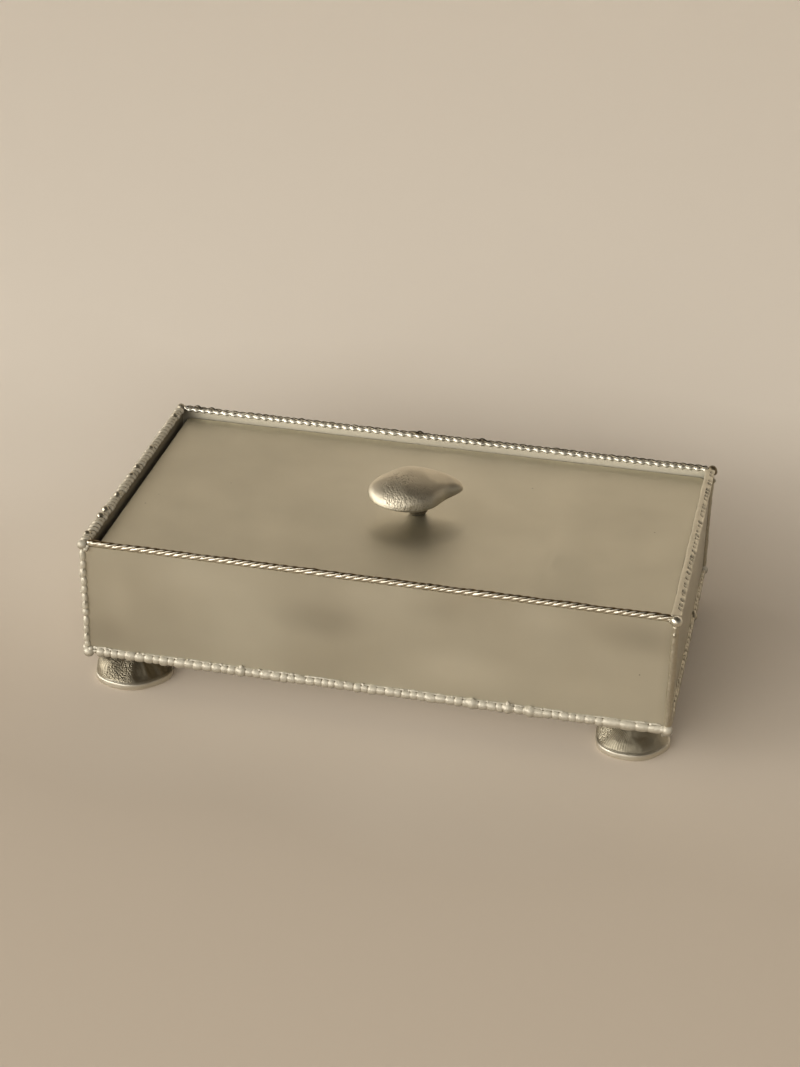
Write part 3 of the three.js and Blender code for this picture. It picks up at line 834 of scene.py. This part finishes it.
# %% [markdown]
# The left rim is the most playful edge. Narrow flat coins of solder lie across the wall, side by
# side, and on some of them sits a round shiny ball, closer together towards the front. The coins
# keep their dull patina. Here they are squared drops whose section is pressed flat, and the balls are
# round drops further up and out. Both are one skin, so the balls get their own finish afterwards, on
# the faces that lie close to a ball's middle.

# %% Coins and balls on the left rim
COIN_PITCH = 2.9
COIN_RADIUS = 2.3
COIN_FLAT = 0.66
COIN_BELOW = 0.73
COIN_CORE = 1.5
LINE_OUT = 0.1
LINE_HIGH = 0.55
BALL_SKIRT = 0.12
COIN_SHARP = 12
COIN_AROUND = 52
COIN_SEED = 5
COIN_LUMPS_SEED = 3.3
# Places along the rim, then the spans of size, of how far out and of how far up
FRONT_BALLS = ([5, 21.5, 27.5], (1.5, 1.7), (0.7, 0.95), (0.7, 0.9))
SMALL_BALLS = ([41.5, 60.5, 69, 88, 122.5], (1.3, 1.45), (0.1, 0.4), (0.7, 0.85))


def left_rim_drops(length, seed):
    """Coins all along the rim, now and then with a small end, and the balls on them."""
    dice = random.Random(seed)
    coins, station = [], 1.5
    while station < length - 1:
        half = COIN_PITCH * dice.uniform(0.52, 0.6)
        radius = COIN_RADIUS * dice.uniform(0.86, 1.08)
        off_line = dice.uniform(0, 0.25), dice.uniform(-0.1, 0.1)
        coins.append((station, half, radius, *off_line, 2.4, dice.uniform(-0.3, 0.3)))
        if dice.random() < 0.12:
            end_size = dice.uniform(0.7, 1.0)
            coins.append((station, end_size * 1.15, end_size, 1.5, 0.6))
        station += COIN_PITCH * dice.uniform(0.85, 1.2)
    balls = []
    for places, sizes, outs, ups in (FRONT_BALLS, SMALL_BALLS):
        for station in places:
            size = dice.uniform(*sizes)
            balls.append((station, size, size, dice.uniform(*outs), dice.uniform(*ups)))
    return coins, balls


def left_rim_reach(coin_drops, ball_drops):
    """Flat coins and round balls, held back below their middle, where the wall's edge is."""
    coins = drops_reach(coin_drops, COIN_CORE, COIN_SHARP)
    balls = drops_reach(ball_drops, 0.1, COIN_SHARP)

    def reach_at(s, a):
        flattened = (np.cos(a) ** 2 + (np.sin(a) / COIN_FLAT) ** 2) ** -0.5
        reach = melted([coins(s, a) * flattened, balls(s, a)], COIN_SHARP)
        below = np.where(np.sin(a) < -0.05, COIN_BELOW / np.maximum(-np.sin(a), 0.05), 9)
        return np.minimum(reach, np.maximum(below, COIN_BELOW))
    return reach_at


low, high = span("rim_bead_left")
line_x, line_z = -(side_x - sheet_thick / 2) - LINE_OUT, wall_top_z + LINE_HIGH
coin_drops, ball_drops = left_rim_drops(high[1] - low[1], COIN_SEED)
ends = (line_x, low[1], line_z), (line_x, high[1], line_z)
coin_reach = left_rim_reach(coin_drops, ball_drops)
left_rim = solder_run(
    "rim_bead_left", solder["coin"], *ends, (-1, 0, 0), UP, coin_reach, COIN_AROUND, seed=COIN_LUMPS_SEED
)
left_rim.data.materials.append(solder["rim_ball"])
ball_middles = [
    (Vector((line_x - out, low[1] + along, line_z + up)), size) for along, _, size, out, up in ball_drops
]
for face in left_rim.data.polygons:
    if any((face.center / MM - middle).length < size + BALL_SKIRT for middle, size in ball_middles):
        face.material_index = 1
print("left rim:", len(left_rim.data.polygons), "faces,", len(ball_drops), "balls")

# %% [markdown]
# The right rim was treated differently: the solder was pressed into a flat band, and its outer edge
# was nicked with the corner of the iron. The band is a rounded rectangle seen end-on, which as a
# reach is the superellipse that drawing programs use for soft squares. Each nick is a slanted notch,
# cut deepest at the outer corner and fading before the middle of the top is reached. The faces in
# the deepest part of it get a dark finish.

# %% Nicked band on the right rim
low, high = span("rim_band_right")
BAND_INWARD = 0.35
BAND_OUTWARD = 0.5
BAND_SINK = 0.1
BAND_HALF_WIDTH = (high[0] - low[0] + BAND_INWARD + BAND_OUTWARD) / 2
BAND_HALF_HEIGHT = (high[2] - low[2]) / 2 + BAND_SINK
BAND_SQUARE = 4.5
NICK_PITCH = 4.0
NICK_ANGLE = 0.85
NICK_SPREAD = 0.54
DARK_FROM = 0.46
BAND_AROUND = 44
BAND_ROUGH = 0.03
NICK_SEED = 11
BAND_LUMPS_SEED = 4.7


def soft_square(a, half_width, half_height, square):
    """The reach of a rounded rectangle."""
    wide, tall = np.abs(np.cos(a)) / half_width, np.abs(np.sin(a)) / half_height
    return (wide**square + tall**square) ** (-1 / square)


def band_nicks(length, seed):
    """Nicks of (station, width, depth, slant) all along the band."""
    dice = random.Random(seed)
    nicks, station = [], 2.5
    while station < length - 2:
        depth = 0.4 + 1.4 * dice.random() ** 1.3
        nicks.append((station, dice.uniform(0.45, 0.62), depth, dice.uniform(2.2, 4.0)))
        station += NICK_PITCH * dice.uniform(0.6, 1.5)
    return nicks


def nick_depth(nicks, s, a):
    """How deep the band is cut at a station and an angle, with all nicks together."""
    outer = np.exp(-((turn_from(a, NICK_ANGLE) / NICK_SPREAD) ** 4))
    return sum(
        depth * outer * np.exp(-(((s - station - slant * np.sin(a)) / width) ** 2))
        for station, width, depth, slant in nicks
    )


def band_reach(nicks):
    """The band's soft square, a little uneven along its length, less the nicks."""
    def reach_at(s, a):
        reach = soft_square(a, BAND_HALF_WIDTH, BAND_HALF_HEIGHT, BAND_SQUARE)
        return reach * (1 + 0.03 * np.sin(s / 4.1) + 0.02 * np.sin(s / 1.7)) - nick_depth(nicks, s, a)
    return reach_at


line_x = (low[0] + high[0] + BAND_OUTWARD - BAND_INWARD) / 2
line_z = (low[2] + high[2]) / 2 - BAND_SINK
ends = (line_x, low[1], line_z), (line_x, high[1], line_z)
nicks = band_nicks(high[1] - low[1], NICK_SEED)
right_rim = solder_run(
    "rim_band_right", solder["pressed"], *ends, (1, 0, 0), UP, band_reach(nicks), BAND_AROUND,
    seed=BAND_LUMPS_SEED, rough=BAND_ROUGH,
)
right_rim.data.materials.append(solder["nick"])
for face in right_rim.data.polygons:
    x, y, z = face.center / MM
    if nick_depth(nicks, y - low[1], math.atan2(z - line_z, x - line_x)) > DARK_FROM:
        face.material_index = 1
print("right rim:", len(right_rim.data.polygons), "faces,", len(nicks), "nicks")

# %% [markdown]
# Along the bottom edges runs a string of pearls: fat drops, pushed so close that they look like coins
# leaning on each other, each with a tail to one side. They are not equal. A few are larger, towards
# the right corner they run into longer lumps, and above them the solder wetted the wall and left a
# thin raised line with small nodules. The string lies round the outer corner of the sheets, so its
# reach is held back on the inner side, where the metal is, and its section is a slightly squared
# circle, steep at the front and flat on top.

# %% Drops for the pearl strings
PEARL_PITCH = 3.9
PEARL_SQUARE = 2.35
INNER_SIDE = 2.45
INNER_SPREAD = 0.8
FREE_REACH = 9
HELD_REACH = 1.4


def pearl_drops(length, seed, size, big_ones=(), long_from=None):
    """Pearls all along an edge, some spilled nodules, and big ones of (station, size, peak)."""
    dice = random.Random(seed)
    drops, station = [], 1.6
    while station < length - 1.2:
        is_long = long_from is not None and station > long_from
        pitch = PEARL_PITCH * (dice.uniform(1.3, 2.0) if is_long else dice.uniform(0.72, 1.18))
        radius = size * dice.uniform(0.9, 1.06)
        off_line = dice.uniform(-0.05, 0.15), dice.uniform(-0.12, 0.12)
        square, lean = dice.uniform(2.1, 2.5), dice.uniform(-0.3, 0.2)
        half, tail = pitch * dice.uniform(0.5, 0.55), dice.uniform(1.6, 1.9)
        drops.append((station + pitch / 2 - 0.12 * pitch, half, radius, *off_line, square, lean, tail))
        if dice.random() < 0.35:
            spill = dice.uniform(0.25, 0.42)
            where = station + dice.uniform(-1.5, 1.5)
            drops.append((where, spill * 1.4, spill, dice.uniform(0.2, 0.5), dice.uniform(1.9, 2.3)))
        station += pitch
    for station, large, peak in big_ones:
        drops.append((station, large, large, 0.25, 0.15))
        drops.append((station - 0.5 * large, 0.7 * large, 0.75 * large, 0.3, 0.5))
        drops.append((station, 0.9, 0.85, 0.3, 1.9 + peak))
    return drops


def wet_line(seed):
    """The thin raised line of solder on the wall above the pearls."""
    def reach_at(s, a):
        lumps = 0.1 * np.sin(s / 2.3 + seed) * np.sin(s / 5.9 + 2 * seed)
        thick = 0.26 + lumps + 0.08 * np.sin(s / 0.9 + seed)
        high = 2.05 + 0.2 * np.sin(s / 7.7 + seed) + 0.12 * np.sin(s / 3.1)
        return drop(0 * s, a, 0, 1, thick, 0.12, high)
    return reach_at


def round_the_corner(s, a):
    """Holds the string back on its upper inner side, inside the sheets."""
    inward = np.exp(-((turn_from(a, INNER_SIDE) / INNER_SPREAD) ** 4))
    return FREE_REACH - (FREE_REACH - HELD_REACH) * inward


print("a pearl string on 100 mm has", len(pearl_drops(100, 21, 2.08)), "drops")

# %% Pearl strings along the bottom edges
PEARL_AROUND = 48
PEARL_CORE = 1.0
PEARL_SHARP = 18
PEARL_ROUGH = 0.035
FRONT_BIG_PEARLS = [(166, 2.45, 0), (181, 2.3, 0.6), (190.6, 2.5, 0), (66, 2.3, 0.4)]
# Piece, outward direction, size, seed, big pearls, and from where on the lumps are long
PEARL_SIDES = [
    ("base_bead_front", (0, -1, 0), 2.08, 21, FRONT_BIG_PEARLS, 218),
    ("base_bead_back", (0, 1, 0), 2.08, 22, [(70, 2.35, 0.3), (150, 2.4, 0)], None),
    ("base_bead_left", (-1, 0, 0), 2.08, 23, [(40, 2.3, 0)], None),
    ("base_bead_right", (1, 0, 0), 1.6, 24, [(90, 2.0, 0.3)], None),
]


def pearl_reach(drops, seed):
    """The melted pearls with their wet line, in a slightly squared section."""
    pearls = drops_reach(drops, PEARL_CORE, PEARL_SHARP, round_the_corner, wet_line(seed))

    def reach_at(s, a):
        return pearls(s, a) * soft_square(a, 1, 1, PEARL_SQUARE)
    return reach_at


for name, out, size, seed, big_ones, long_from in PEARL_SIDES:
    low, high = span(name)
    if out[0] == 0:
        ends = (low[0], out[1] * side_y, base_z), (high[0], out[1] * side_y, base_z)
    else:
        ends = (out[0] * side_x, low[1], base_z), (out[0] * side_x, high[1], base_z)
    drops = pearl_drops(np.linalg.norm(np.subtract(*ends)), seed, size, big_ones, long_from)
    finish = solder["patina" if name == "base_bead_right" else "pearl"]
    reach = pearl_reach(drops, seed)
    string = solder_run(
        name, finish, *ends, out, UP, reach, PEARL_AROUND, seed=seed * 0.7, rough=PEARL_ROUGH
    )
    print(name, len(drops), "drops,", len(string.data.polygons), "faces")

# %% [markdown]
# Four upright seams close the corners. At the left they are strings of soft low drops, at the right
# the iron was drawn down in one go and left a smooth seam with a few bumps. They use the same drops;
# a smooth seam only has longer ones and a thicker core, and it kept more of its patina.

# %% Seams up the corners
SEAM_SHARP = 9
SEAM_ROUGH = 0.06
# Piece, sides of the box, seed, pitch and radius of the drops, and whether the seam is smooth
SEAMS = [
    ("corner_seam_front_left", -1, -1, 31, 3.8, 1.45, False),
    ("corner_seam_front_right", 1, -1, 32, 7.5, 1.55, True),
    ("corner_seam_back_right", 1, 1, 33, 4.6, 1.3, True),
    ("corner_seam_back_left", -1, 1, 34, 3.8, 1.45, False),
]


def seam_drops(length, seed, pitch, radius, smooth):
    """Low drops up a seam, now and then with a bump beside it."""
    dice = random.Random(seed)
    drops, station = [], 1.0
    while station < length - 0.6:
        step = pitch * dice.uniform(0.75, 1.3)
        size = radius * dice.uniform(0.92, 1.06)
        half = step * (0.95 if smooth else 0.58)
        drops.append((station, half, size, dice.uniform(0.0, 0.15), dice.uniform(-0.2, 0.2), 2.2))
        if dice.random() < 0.35:
            bump = dice.uniform(0.4, 0.7)
            drops.append((station + step / 2, bump * 1.4, bump, 0.9, dice.choice((-1.3, 1.3))))
        station += step
    return drops


for name, sign_x, sign_y, seed, pitch, radius, smooth in SEAMS:
    low, high = span(name)
    corner = np.array((sign_x * side_x, sign_y * side_y))
    ends = (*corner, low[2]), (*corner, high[2])
    out = np.array((sign_x, sign_y, 0)) / math.sqrt(2)
    aside = np.array((-sign_y, sign_x, 0)) / math.sqrt(2)
    drops = seam_drops(high[2] - low[2], seed, pitch, radius, smooth)
    lumps = drops_reach(drops, 0.93 * radius if smooth else 0.7, SEAM_SHARP)
    finish = solder["patina" if smooth else "seam"]
    seam = solder_run(name, finish, *ends, out, aside, lumps, seed=seed * 0.3, rough=SEAM_ROUGH)
    print(name, len(drops), "drops,", len(seam.data.polygons), "faces")

# %% [markdown]
# Where three edges meet, the maker let a ball of solder set. No ball is quite round: some have a
# smaller one stuck to them, some have slumped, and at the front right corner below, solder dripped
# down behind the ball. Each is made from a round cage of directions, and in every direction the
# farthest of a few lobes gives the surface, melted together as on the strings.

# %% Balls at the corners
CAGE_ROWS = 60
CAGE_COLUMNS = 90
BALL_ROUGH = 0.025
BALL_LUMPS = 1.3
BALL_SHARP = 14
BALL_SEED = 41
# Lobes of (radius, offset x, y, z) in millimetres
BALL_LOBES = {
    "rim_ball_front_left": [(2.1, 0, 0, 0), (1.3, 1.7, -0.7, -1.5), (0.8, 2.6, -0.5, -0.2)],
    "rim_ball_front_right": [(2.4, 0, 0, 0), (0.9, -2.1, 0.2, -0.4)],
    "rim_ball_back_right": [(2.1, 0.2, 0, -0.3), (1.7, 0.8, 0.2, -1.2)],
    "rim_ball_back_left": [(1.9, 0, 0, 0), (1.4, 1.3, -0.3, -0.3)],
    "base_ball_front_left": [(2.35, 0.4, -0.2, -0.4), (1.5, -0.9, 0.2, 1.4), (1.0, 1.4, -0.5, 1.3)],
    "base_ball_front_right": [
        (2.4, 0, 0, 0), (1.6, -2.0, -0.3, 0.3), (1.2, -0.9, 1.0, -2.2), (0.8, -1.6, 1.3, -3.4)
    ],
    "base_ball_back_right": [(2.35, 0, 0, 0), (1.4, -0.9, 0.4, 0.9)],
    "base_ball_back_left": [(2.35, 0, 0, 0), (1.5, 0.8, 0.5, -0.8)],
}
BALL_SOLDERS = {"rim_ball_front_right": "ball", "rim_ball_back_right": "dark", "rim_ball_back_left": "patina"}


def cage():
    """Directions all round, in rows from the top to the bottom."""
    rows = np.radians(np.linspace(2, 178, CAGE_ROWS))[:, None]
    columns = all_round(CAGE_COLUMNS)
    ways = np.sin(rows) * np.cos(columns), np.sin(rows) * np.sin(columns), np.cos(rows)
    return np.stack(np.broadcast_arrays(*ways), axis=-1)


def add_ball(name, lobes, finish, seed):
    """A solder ball in its node's place."""
    low, high = span(name)
    ways = cage()
    reaches = []
    for radius, *offset in lobes:
        toward = ways @ np.array(offset, float)
        inside = radius**2 - np.dot(offset, offset) + toward**2
        reaches.append(np.where(inside > 0, np.maximum(toward + np.sqrt(np.maximum(inside, 0)), 0), 0))
    reach = melted(reaches, BALL_SHARP)
    reach = reach * (1 + BALL_ROUGH * unevenness(ways * reach[..., None], BALL_LUMPS, seed))
    return skin(name, (low + high) / 2 + ways * reach[..., None], finish, "bright_solder", "box")


for seed, (name, lobes) in enumerate(BALL_LOBES.items(), BALL_SEED):
    ball = add_ball(name, lobes, solder[BALL_SOLDERS.get(name, "pearl")], seed)
print("balls:", len(BALL_LOBES), "with", len(ball.data.polygons), "faces each")

# %% [markdown]
# The knob is a cast pebble like a drawn-out drop: round at the left, with a blunt tip at the right,
# nearly flat on top and hollowed under the tip. It could be sculpted, but a few rules along its
# length describe it better: an egg curve for the girth, a blunt end added to it, a tip that bends
# aside, a pinch on the tip's front, a keel below, and a slight lean of the whole pebble.

# %% The knob's form
KNOB_LENGTH = 41.6
KNOB_HALF_DEPTH = 13.8
KNOB_CROWN = 7.7
KNOB_BELLY = 6.4
KNOB_RIM_HIGH = 5.9
KNOB_LEAN = 0.13
RIM_RISE = 0.6
CROWN_SQUARE = 2.75
ROUND_END_SQUARE = 1.95
BELLY_SQUARE = 1.35
TIP_GIRTH = 0.31
TIP_PINCH = 0.42
TIP_ASIDE = 1.9
KNOB_RINGS = 260
KNOB_AROUND = 300


def smooth_step(value, start, end):
    """Rises softly from 0 to 1 while a value goes from start to end."""
    share = np.clip((value - start) / (end - start), 0, 1)
    return share * share * (3 - 2 * share)


def knob_form():
    """The bare pebble, lofted from its round end to its tip, with its underside near height 0."""
    share = 0.5 - 0.5 * np.cos(np.pi * (np.arange(KNOB_RINGS)[:, None] + 0.35) / (KNOB_RINGS - 0.3))
    angle = all_round(KNOB_AROUND)
    egg = np.sin(np.pi * share**0.82) ** 0.63
    blunt = TIP_GIRTH * np.sqrt(1 - np.maximum(0, (share - 0.9) / 0.1) ** 2) * smooth_step(share, 0.5, 0.88)
    girth = (egg**4 + blunt**4) ** 0.25
    tip = np.maximum(0, share - 0.55) / 0.45
    pinch = 1 - TIP_PINCH * smooth_step(share, 0.64, 0.88)
    side, rise = np.cos(angle), np.sin(angle)
    half_depth = KNOB_HALF_DEPTH * girth * np.where(side < 0, pinch, 1)
    keel = (1 - np.abs(2 * share - 1) ** BELLY_SQUARE) ** (1 / BELLY_SQUARE)
    half_high = np.where(rise > 0, KNOB_CROWN * girth**0.85, KNOB_BELLY * keel + 0.3)
    crown_square = ROUND_END_SQUARE + (CROWN_SQUARE - ROUND_END_SQUARE) * smooth_step(share, 0.2, 0.5)
    square = np.where(rise > 0, crown_square, BELLY_SQUARE)
    reach = soft_square(angle, half_depth, half_high, square)
    x = (share - 0.5) * KNOB_LENGTH + 0 * angle
    y = reach * side + TIP_ASIDE * tip
    z = KNOB_RIM_HIGH + RIM_RISE * share + KNOB_LEAN * y + reach * rise
    return np.stack([x, y, z], axis=-1)


pebble = knob_form()
pebble_low, pebble_high = pebble.min((0, 1)), pebble.max((0, 1))
print("bare pebble from", [round(v, 1) for v in pebble_low], "to", [round(v, 1) for v in pebble_high])

# %% [markdown]
# On that form the mould's texture is laid as real hollows: pits at the left of the top, grain low on
# the front, and nothing on the smooth right-hand side. Each is a fine seeded unevenness, kept to its
# own part of the pebble, that moves the points in along the surface's own direction. Wide shallow
# dents over everything keep the reflections from looking machined.

# %% The knob's cast skin
KNOB_TURN = math.radians(16)
KNOB_SETBACK = 1.5
KNOB_ASIDE = -0.7


def outward(rings):
    """The outward direction at each point of a row of rings."""
    along = np.gradient(rings, axis=0)
    around = np.roll(rings, -1, axis=1) - np.roll(rings, 1, axis=1)
    normal = np.cross(around, along)
    normal = normal / np.maximum(np.linalg.norm(normal, axis=-1, keepdims=True), 1e-9)
    return normal if (normal * (rings - rings.mean((0, 1)))).sum() > 0 else -normal


def turned(points, angle):
    """Points turned about the upright axis."""
    x, y, z = np.moveaxis(points, -1, 0)
    c, s = math.cos(angle), math.sin(angle)
    return np.stack([x * c - y * s, x * s + y * c, z], axis=-1)


x, y, z = np.moveaxis(pebble, -1, 0)
pitted_top = np.exp(-(((x + 8) / 6) ** 2 + ((y + 2) / 6) ** 2)) * smooth_step(z, 9, 12)
grainy_front = smooth_step(-y, 4, 9) * smooth_step(x, -17, -11) * smooth_step(-x, -9, -3)
pits = -np.maximum(unevenness(pebble, 0.7, 51) - 0.08, 0) * 0.6 * pitted_top
grain = -np.maximum(unevenness(pebble, 0.46, 54), 0) * 0.42 * grainy_front
dents = unevenness(pebble, 9, 52) * 0.3 + unevenness(pebble, 3, 53) * 0.06
pebble = pebble + outward(pebble) * (pits + grain + dents)[..., None]

neck_low, neck_high = span("knob_neck")
neck_middle = (neck_low + neck_high) / 2
knob_place = np.array([neck_middle[0] + KNOB_ASIDE, neck_middle[1] - KNOB_SETBACK, span("lid_knob")[0][2]])
knob_rings = turned(pebble, KNOB_TURN) + knob_place
knob = skin("lid_knob", knob_rings, pewter["cast"], "cast_pewter", "lid")
print("knob:", len(knob.data.polygons), "faces, top at", round(float(knob_rings[..., 2].max()), 2), "mm")

# %% [markdown]
# Under the knob a short neck, cast with it, joins it to the lid. It is a turned form like a cone
# upside down: slim where it stands on the lid, and wider as it runs up into the pebble, with a plan
# that is not quite round.

# %% The knob's neck
NECK_RINGS = 50
NECK_AROUND = 90
NECK_FOOT = 2.9
NECK_SPREAD = 3.6
NECK_INTO_LID = 0.12
NECK_INTO_KNOB = 2.6
NECK_LUMPS = 0.2


def lathe(middle, reach, angle, z):
    """Rings round an upright axis, from a reach and a height for each ring and angle."""
    x, y = middle[0] + reach * np.cos(angle), middle[1] + reach * np.sin(angle)
    return np.stack(np.broadcast_arrays(x, y, z), axis=-1)


climb = np.linspace(0, 1, NECK_RINGS)[:, None]
angle = all_round(NECK_AROUND)
neck_reach = NECK_FOOT + NECK_SPREAD * climb**0.75
neck_reach = neck_reach * (1 + 0.04 * np.cos(3 * angle + 1) + 0.03 * np.cos(2 * angle))
neck_z = neck_low[2] - NECK_INTO_LID + climb * (neck_high[2] - neck_low[2] + NECK_INTO_KNOB)
neck_rings = lathe(neck_middle, neck_reach, angle, neck_z)
lumps = NECK_LUMPS * unevenness(neck_rings, 1.0, 61) * (climb > 0)
neck_rings = neck_rings + outward(neck_rings) * lumps[..., None]
# The neck's finish is painted shade, a darker copy of the knob's pewter.
neck = skin("knob_neck", neck_rings, pewter["neck"], "cast_pewter", "lid")
print("neck:", len(neck.data.polygons), "faces")

# %% [markdown]
# The feet are cast pebbles too, but shaped like a limpet shell: a smooth lip all round the bottom, a
# narrow shelf above it, and a dome. Each is a loft of levels, from the flat sole up the lip and over
# the dome. The dome is not the same all round: its left side is full, nearly upright at first, and
# the rest rises more leanly. So every level has two widths, and an angle decides between them.

# %% The feet's levels
FOOT_HALF_LENGTH = 16.8
FOOT_HALF_DEPTH = 15.7
FOOT_HIGH = 12.25
SHELF_HIGH = 3.5
LIP_SQUARE = 0.6
DOME_FULL = 2.6
SOLE_WIDTHS = (0.1, 0.3, 0.5, 0.68, 0.8, 0.9)
CROWN_WIDTHS = (0.27, 0.15, 0.06)


def foot_levels():
    """Width share of a lean and of a full side and height of each level, from the sole to the top."""
    sole = [(share, share, 0.0) for share in SOLE_WIDTHS]
    lip = []
    for t in np.radians(np.linspace(-86, 82, 30)):
        wide, high = math.cos(t) ** LIP_SQUARE, math.copysign(abs(math.sin(t)) ** LIP_SQUARE, t)
        lip.append((0.92 + 0.08 * wide, 0.92 + 0.08 * wide, LIP_HIGH / 2 * (1 + high)))
    shelf = []
    for t in np.linspace(0.1, 1, 6):
        shelf.append((0.955 - 0.03 * t, 0.955 + 0.01 * t, LIP_HIGH + (SHELF_HIGH - LIP_HIGH) * t))
    dome = []
    for t in np.sin(np.radians(np.linspace(1, 90, 90))):
        full = 0.34 + 0.625 * math.sqrt(1 - t**DOME_FULL)
        dome.append((0.925 - 0.585 * t**1.1, full, SHELF_HIGH + (FOOT_HIGH - SHELF_HIGH) * t))
    crown = [(share, share, FOOT_HIGH) for share in CROWN_WIDTHS]
    return np.array(sole + lip + shelf + dome + crown)


print("a foot has", len(foot_levels()), "levels, the lip up to", LIP_HIGH, "mm")

# %% [markdown]
# The plan of a foot is never a true circle: it is lumpy and a little egg-shaped. What the mould left
# on the dome is real shape again, and each foot has its own: scoops like leaves, a grainy patch, and
# fine ribs that run up to the top. The lip stays smooth, and the sole stays flat on the floor.

# %% The feet
FOOT_AROUND = 480
FULL_SIDE = 190
FULL_FADE_START = 0.9
FULL_FADE_END = 1.5
PLAN_LUMPS = 1.02
# Corner, stretch, egg shape and lumps of the plan, turn, outward sign, scoops, middles of grain and ribs.
# A scoop is its direction and height, half its width in degrees, half its height and its depth.
FEET = [
    ("front_left", 1.01, -0.06, 0.0, 0, -1, [(64, 7.5, 19, 5, 0.45), (34, 7, 18, 5, 0.5)], 104, 170),
    ("front_right", 0.96, -0.05, 1.7, -34, -1, [(20, 7, 22, 3, 0.2)], 130, 110),
    ("back_right", 1.0, 0.03, 1.7, 0, 1, [(60, 8, 14, 4, 0.9), (110, 8, 12, 4, 0.8)], 150, 60),
    ("back_left", 1.0, -0.03, 0.0, 0, 1, [(40, 8, 14, 4, 0.9), (75, 7, 11, 4, 0.9)], 115, 150),
]


def close_to(angle, middle, fade_start, fade_end):
    """1 near a direction given in degrees, fading to 0 between two turns away from it."""
    return smooth_step(-turn_from(angle, math.radians(middle)), -fade_end, -fade_start)


def foot_form(stretch, egg, seed, sign_y):
    """The bare foot, round its own middle, with the angle and the height of its points."""
    angle = all_round(FOOT_AROUND)
    lean_width, full_width, height = (column[:, None] for column in foot_levels().T)
    fullness = close_to(angle, FULL_SIDE, FULL_FADE_START, FULL_FADE_END)
    width = lean_width + (full_width - lean_width) * fullness
    lumps = 1 + 0.03 * np.cos(3 * angle + seed) + 0.02 * np.cos(5 * angle + 2 * seed)
    reach = width * (lumps + egg * np.cos(angle)) / PLAN_LUMPS
    x = FOOT_HALF_LENGTH * stretch * reach * np.cos(angle)
    y = sign_y * FOOT_HALF_DEPTH * reach * np.sin(angle)
    return np.stack([x, y, height + 0 * angle], axis=-1), angle, height


def foot_relief(form, angle, height, seed, scoops, grain_middle, rib_middle):
    """How far the mould's texture stands out from the bare foot, in millimetres."""
    dome = smooth_step(height, LIP_HIGH, LIP_HIGH + 0.8) * smooth_step(-height, -FOOT_HIGH, -FOOT_HIGH + 1)
    raised = 0.4 * unevenness(form, 6, seed + 71) + 0.08 * unevenness(form, 2, seed + 74)
    for middle, high, half_turn, half_high, depth in scoops:
        aside = turn_from(angle, math.radians(middle)) / math.radians(half_turn)
        raised = raised - depth * smooth_step(1 - np.hypot(aside, (height - high) / half_high), 0, 0.7)
    grainy = close_to(angle, grain_middle, 0.3, 0.55)
    ribbed = close_to(angle, rib_middle, 0.5, 1.1)
    raised = raised + grainy * 0.3 * unevenness(form, 0.42, seed + 72)
    raised = raised + ribbed * 0.06 * np.cos(80 * angle + 2.5 * np.sin(height / 2 + seed))
    waves = smooth_step(height, 0.05, 1.5) * 0.12 * unevenness(form, 5, seed + 73)
    return (dome * raised + waves) * smooth_step(height, 0.0, 0.8)


rests = {mount["name"]: np.array(mount["pos_m"][:2]) / MM for mount in frame["record"]["mounts"]}
for corner, stretch, egg, seed, turn, sign_y, *texture in FEET:
    form, angle, height_up = foot_form(stretch, egg, seed, sign_y)
    form = form + outward(form) * foot_relief(form, angle, height_up, seed, *texture)[..., None]
    form[..., 2] = np.clip(form[..., 2], 0, FOOT_HIGH)
    placed = turned(form, math.radians(turn)) + np.array([*rests[f"foot_rest_{corner}"], 0])
    finish = pewter["pale_foot" if corner == "front_right" else "foot"]
    foot = skin(f"foot_{corner}", placed, finish, "cast_pewter", "box")
print("feet:", len(FEET), "with", len(foot.data.polygons), "faces each")

# %% [markdown]
# A pad of solder joins each foot to the tray's base. It is hidden from most sides, but it is what
# carries the box, so it is there: a squat drum with a pulled-in waist, where the solder was drawn
# between foot and base, and a wavy edge where it stopped.

# %% Solder pads over the feet
PAD_RINGS = 18
PAD_AROUND = 60
PAD_SUNK = 0.1
PAD_WAIST = 0.8


def add_pad(name, seed):
    """A pad in its node's place, sunk a little into the foot and into the base."""
    low, high = span(name)
    climb, angle = np.linspace(0, 1, PAD_RINGS)[:, None], all_round(PAD_AROUND)
    reach = (high[0] - low[0]) / 2 * (PAD_WAIST + (1 - PAD_WAIST) * np.abs(2 * climb - 1) ** 1.6)
    reach = reach * (1 + 0.05 * np.cos(3 * angle + seed) + 0.03 * np.cos(5 * angle - seed))
    z = low[2] - PAD_SUNK + climb * (high[2] - low[2] + 2 * PAD_SUNK)
    return skin(name, lathe((low + high) / 2, reach, angle, z), solder["seam"], "bright_solder", "box")


pads = [add_pad(f"foot_solder_{corner}", seed) for seed, (corner, *_) in enumerate(FEET)]
print("pads:", [pad.name for pad in pads])

# %% [markdown]
# The dressed box has to keep the size of the frame that it was built on. So the last cell compares
# the two boxes and prints how much the dressed one has grown.

# %% Note the growth in size
dressed_low, dressed_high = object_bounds()
growth = (dressed_high - dressed_low) - (cad_high - cad_low)
print("grown by", [round(v / MM, 2) for v in growth], "mm")
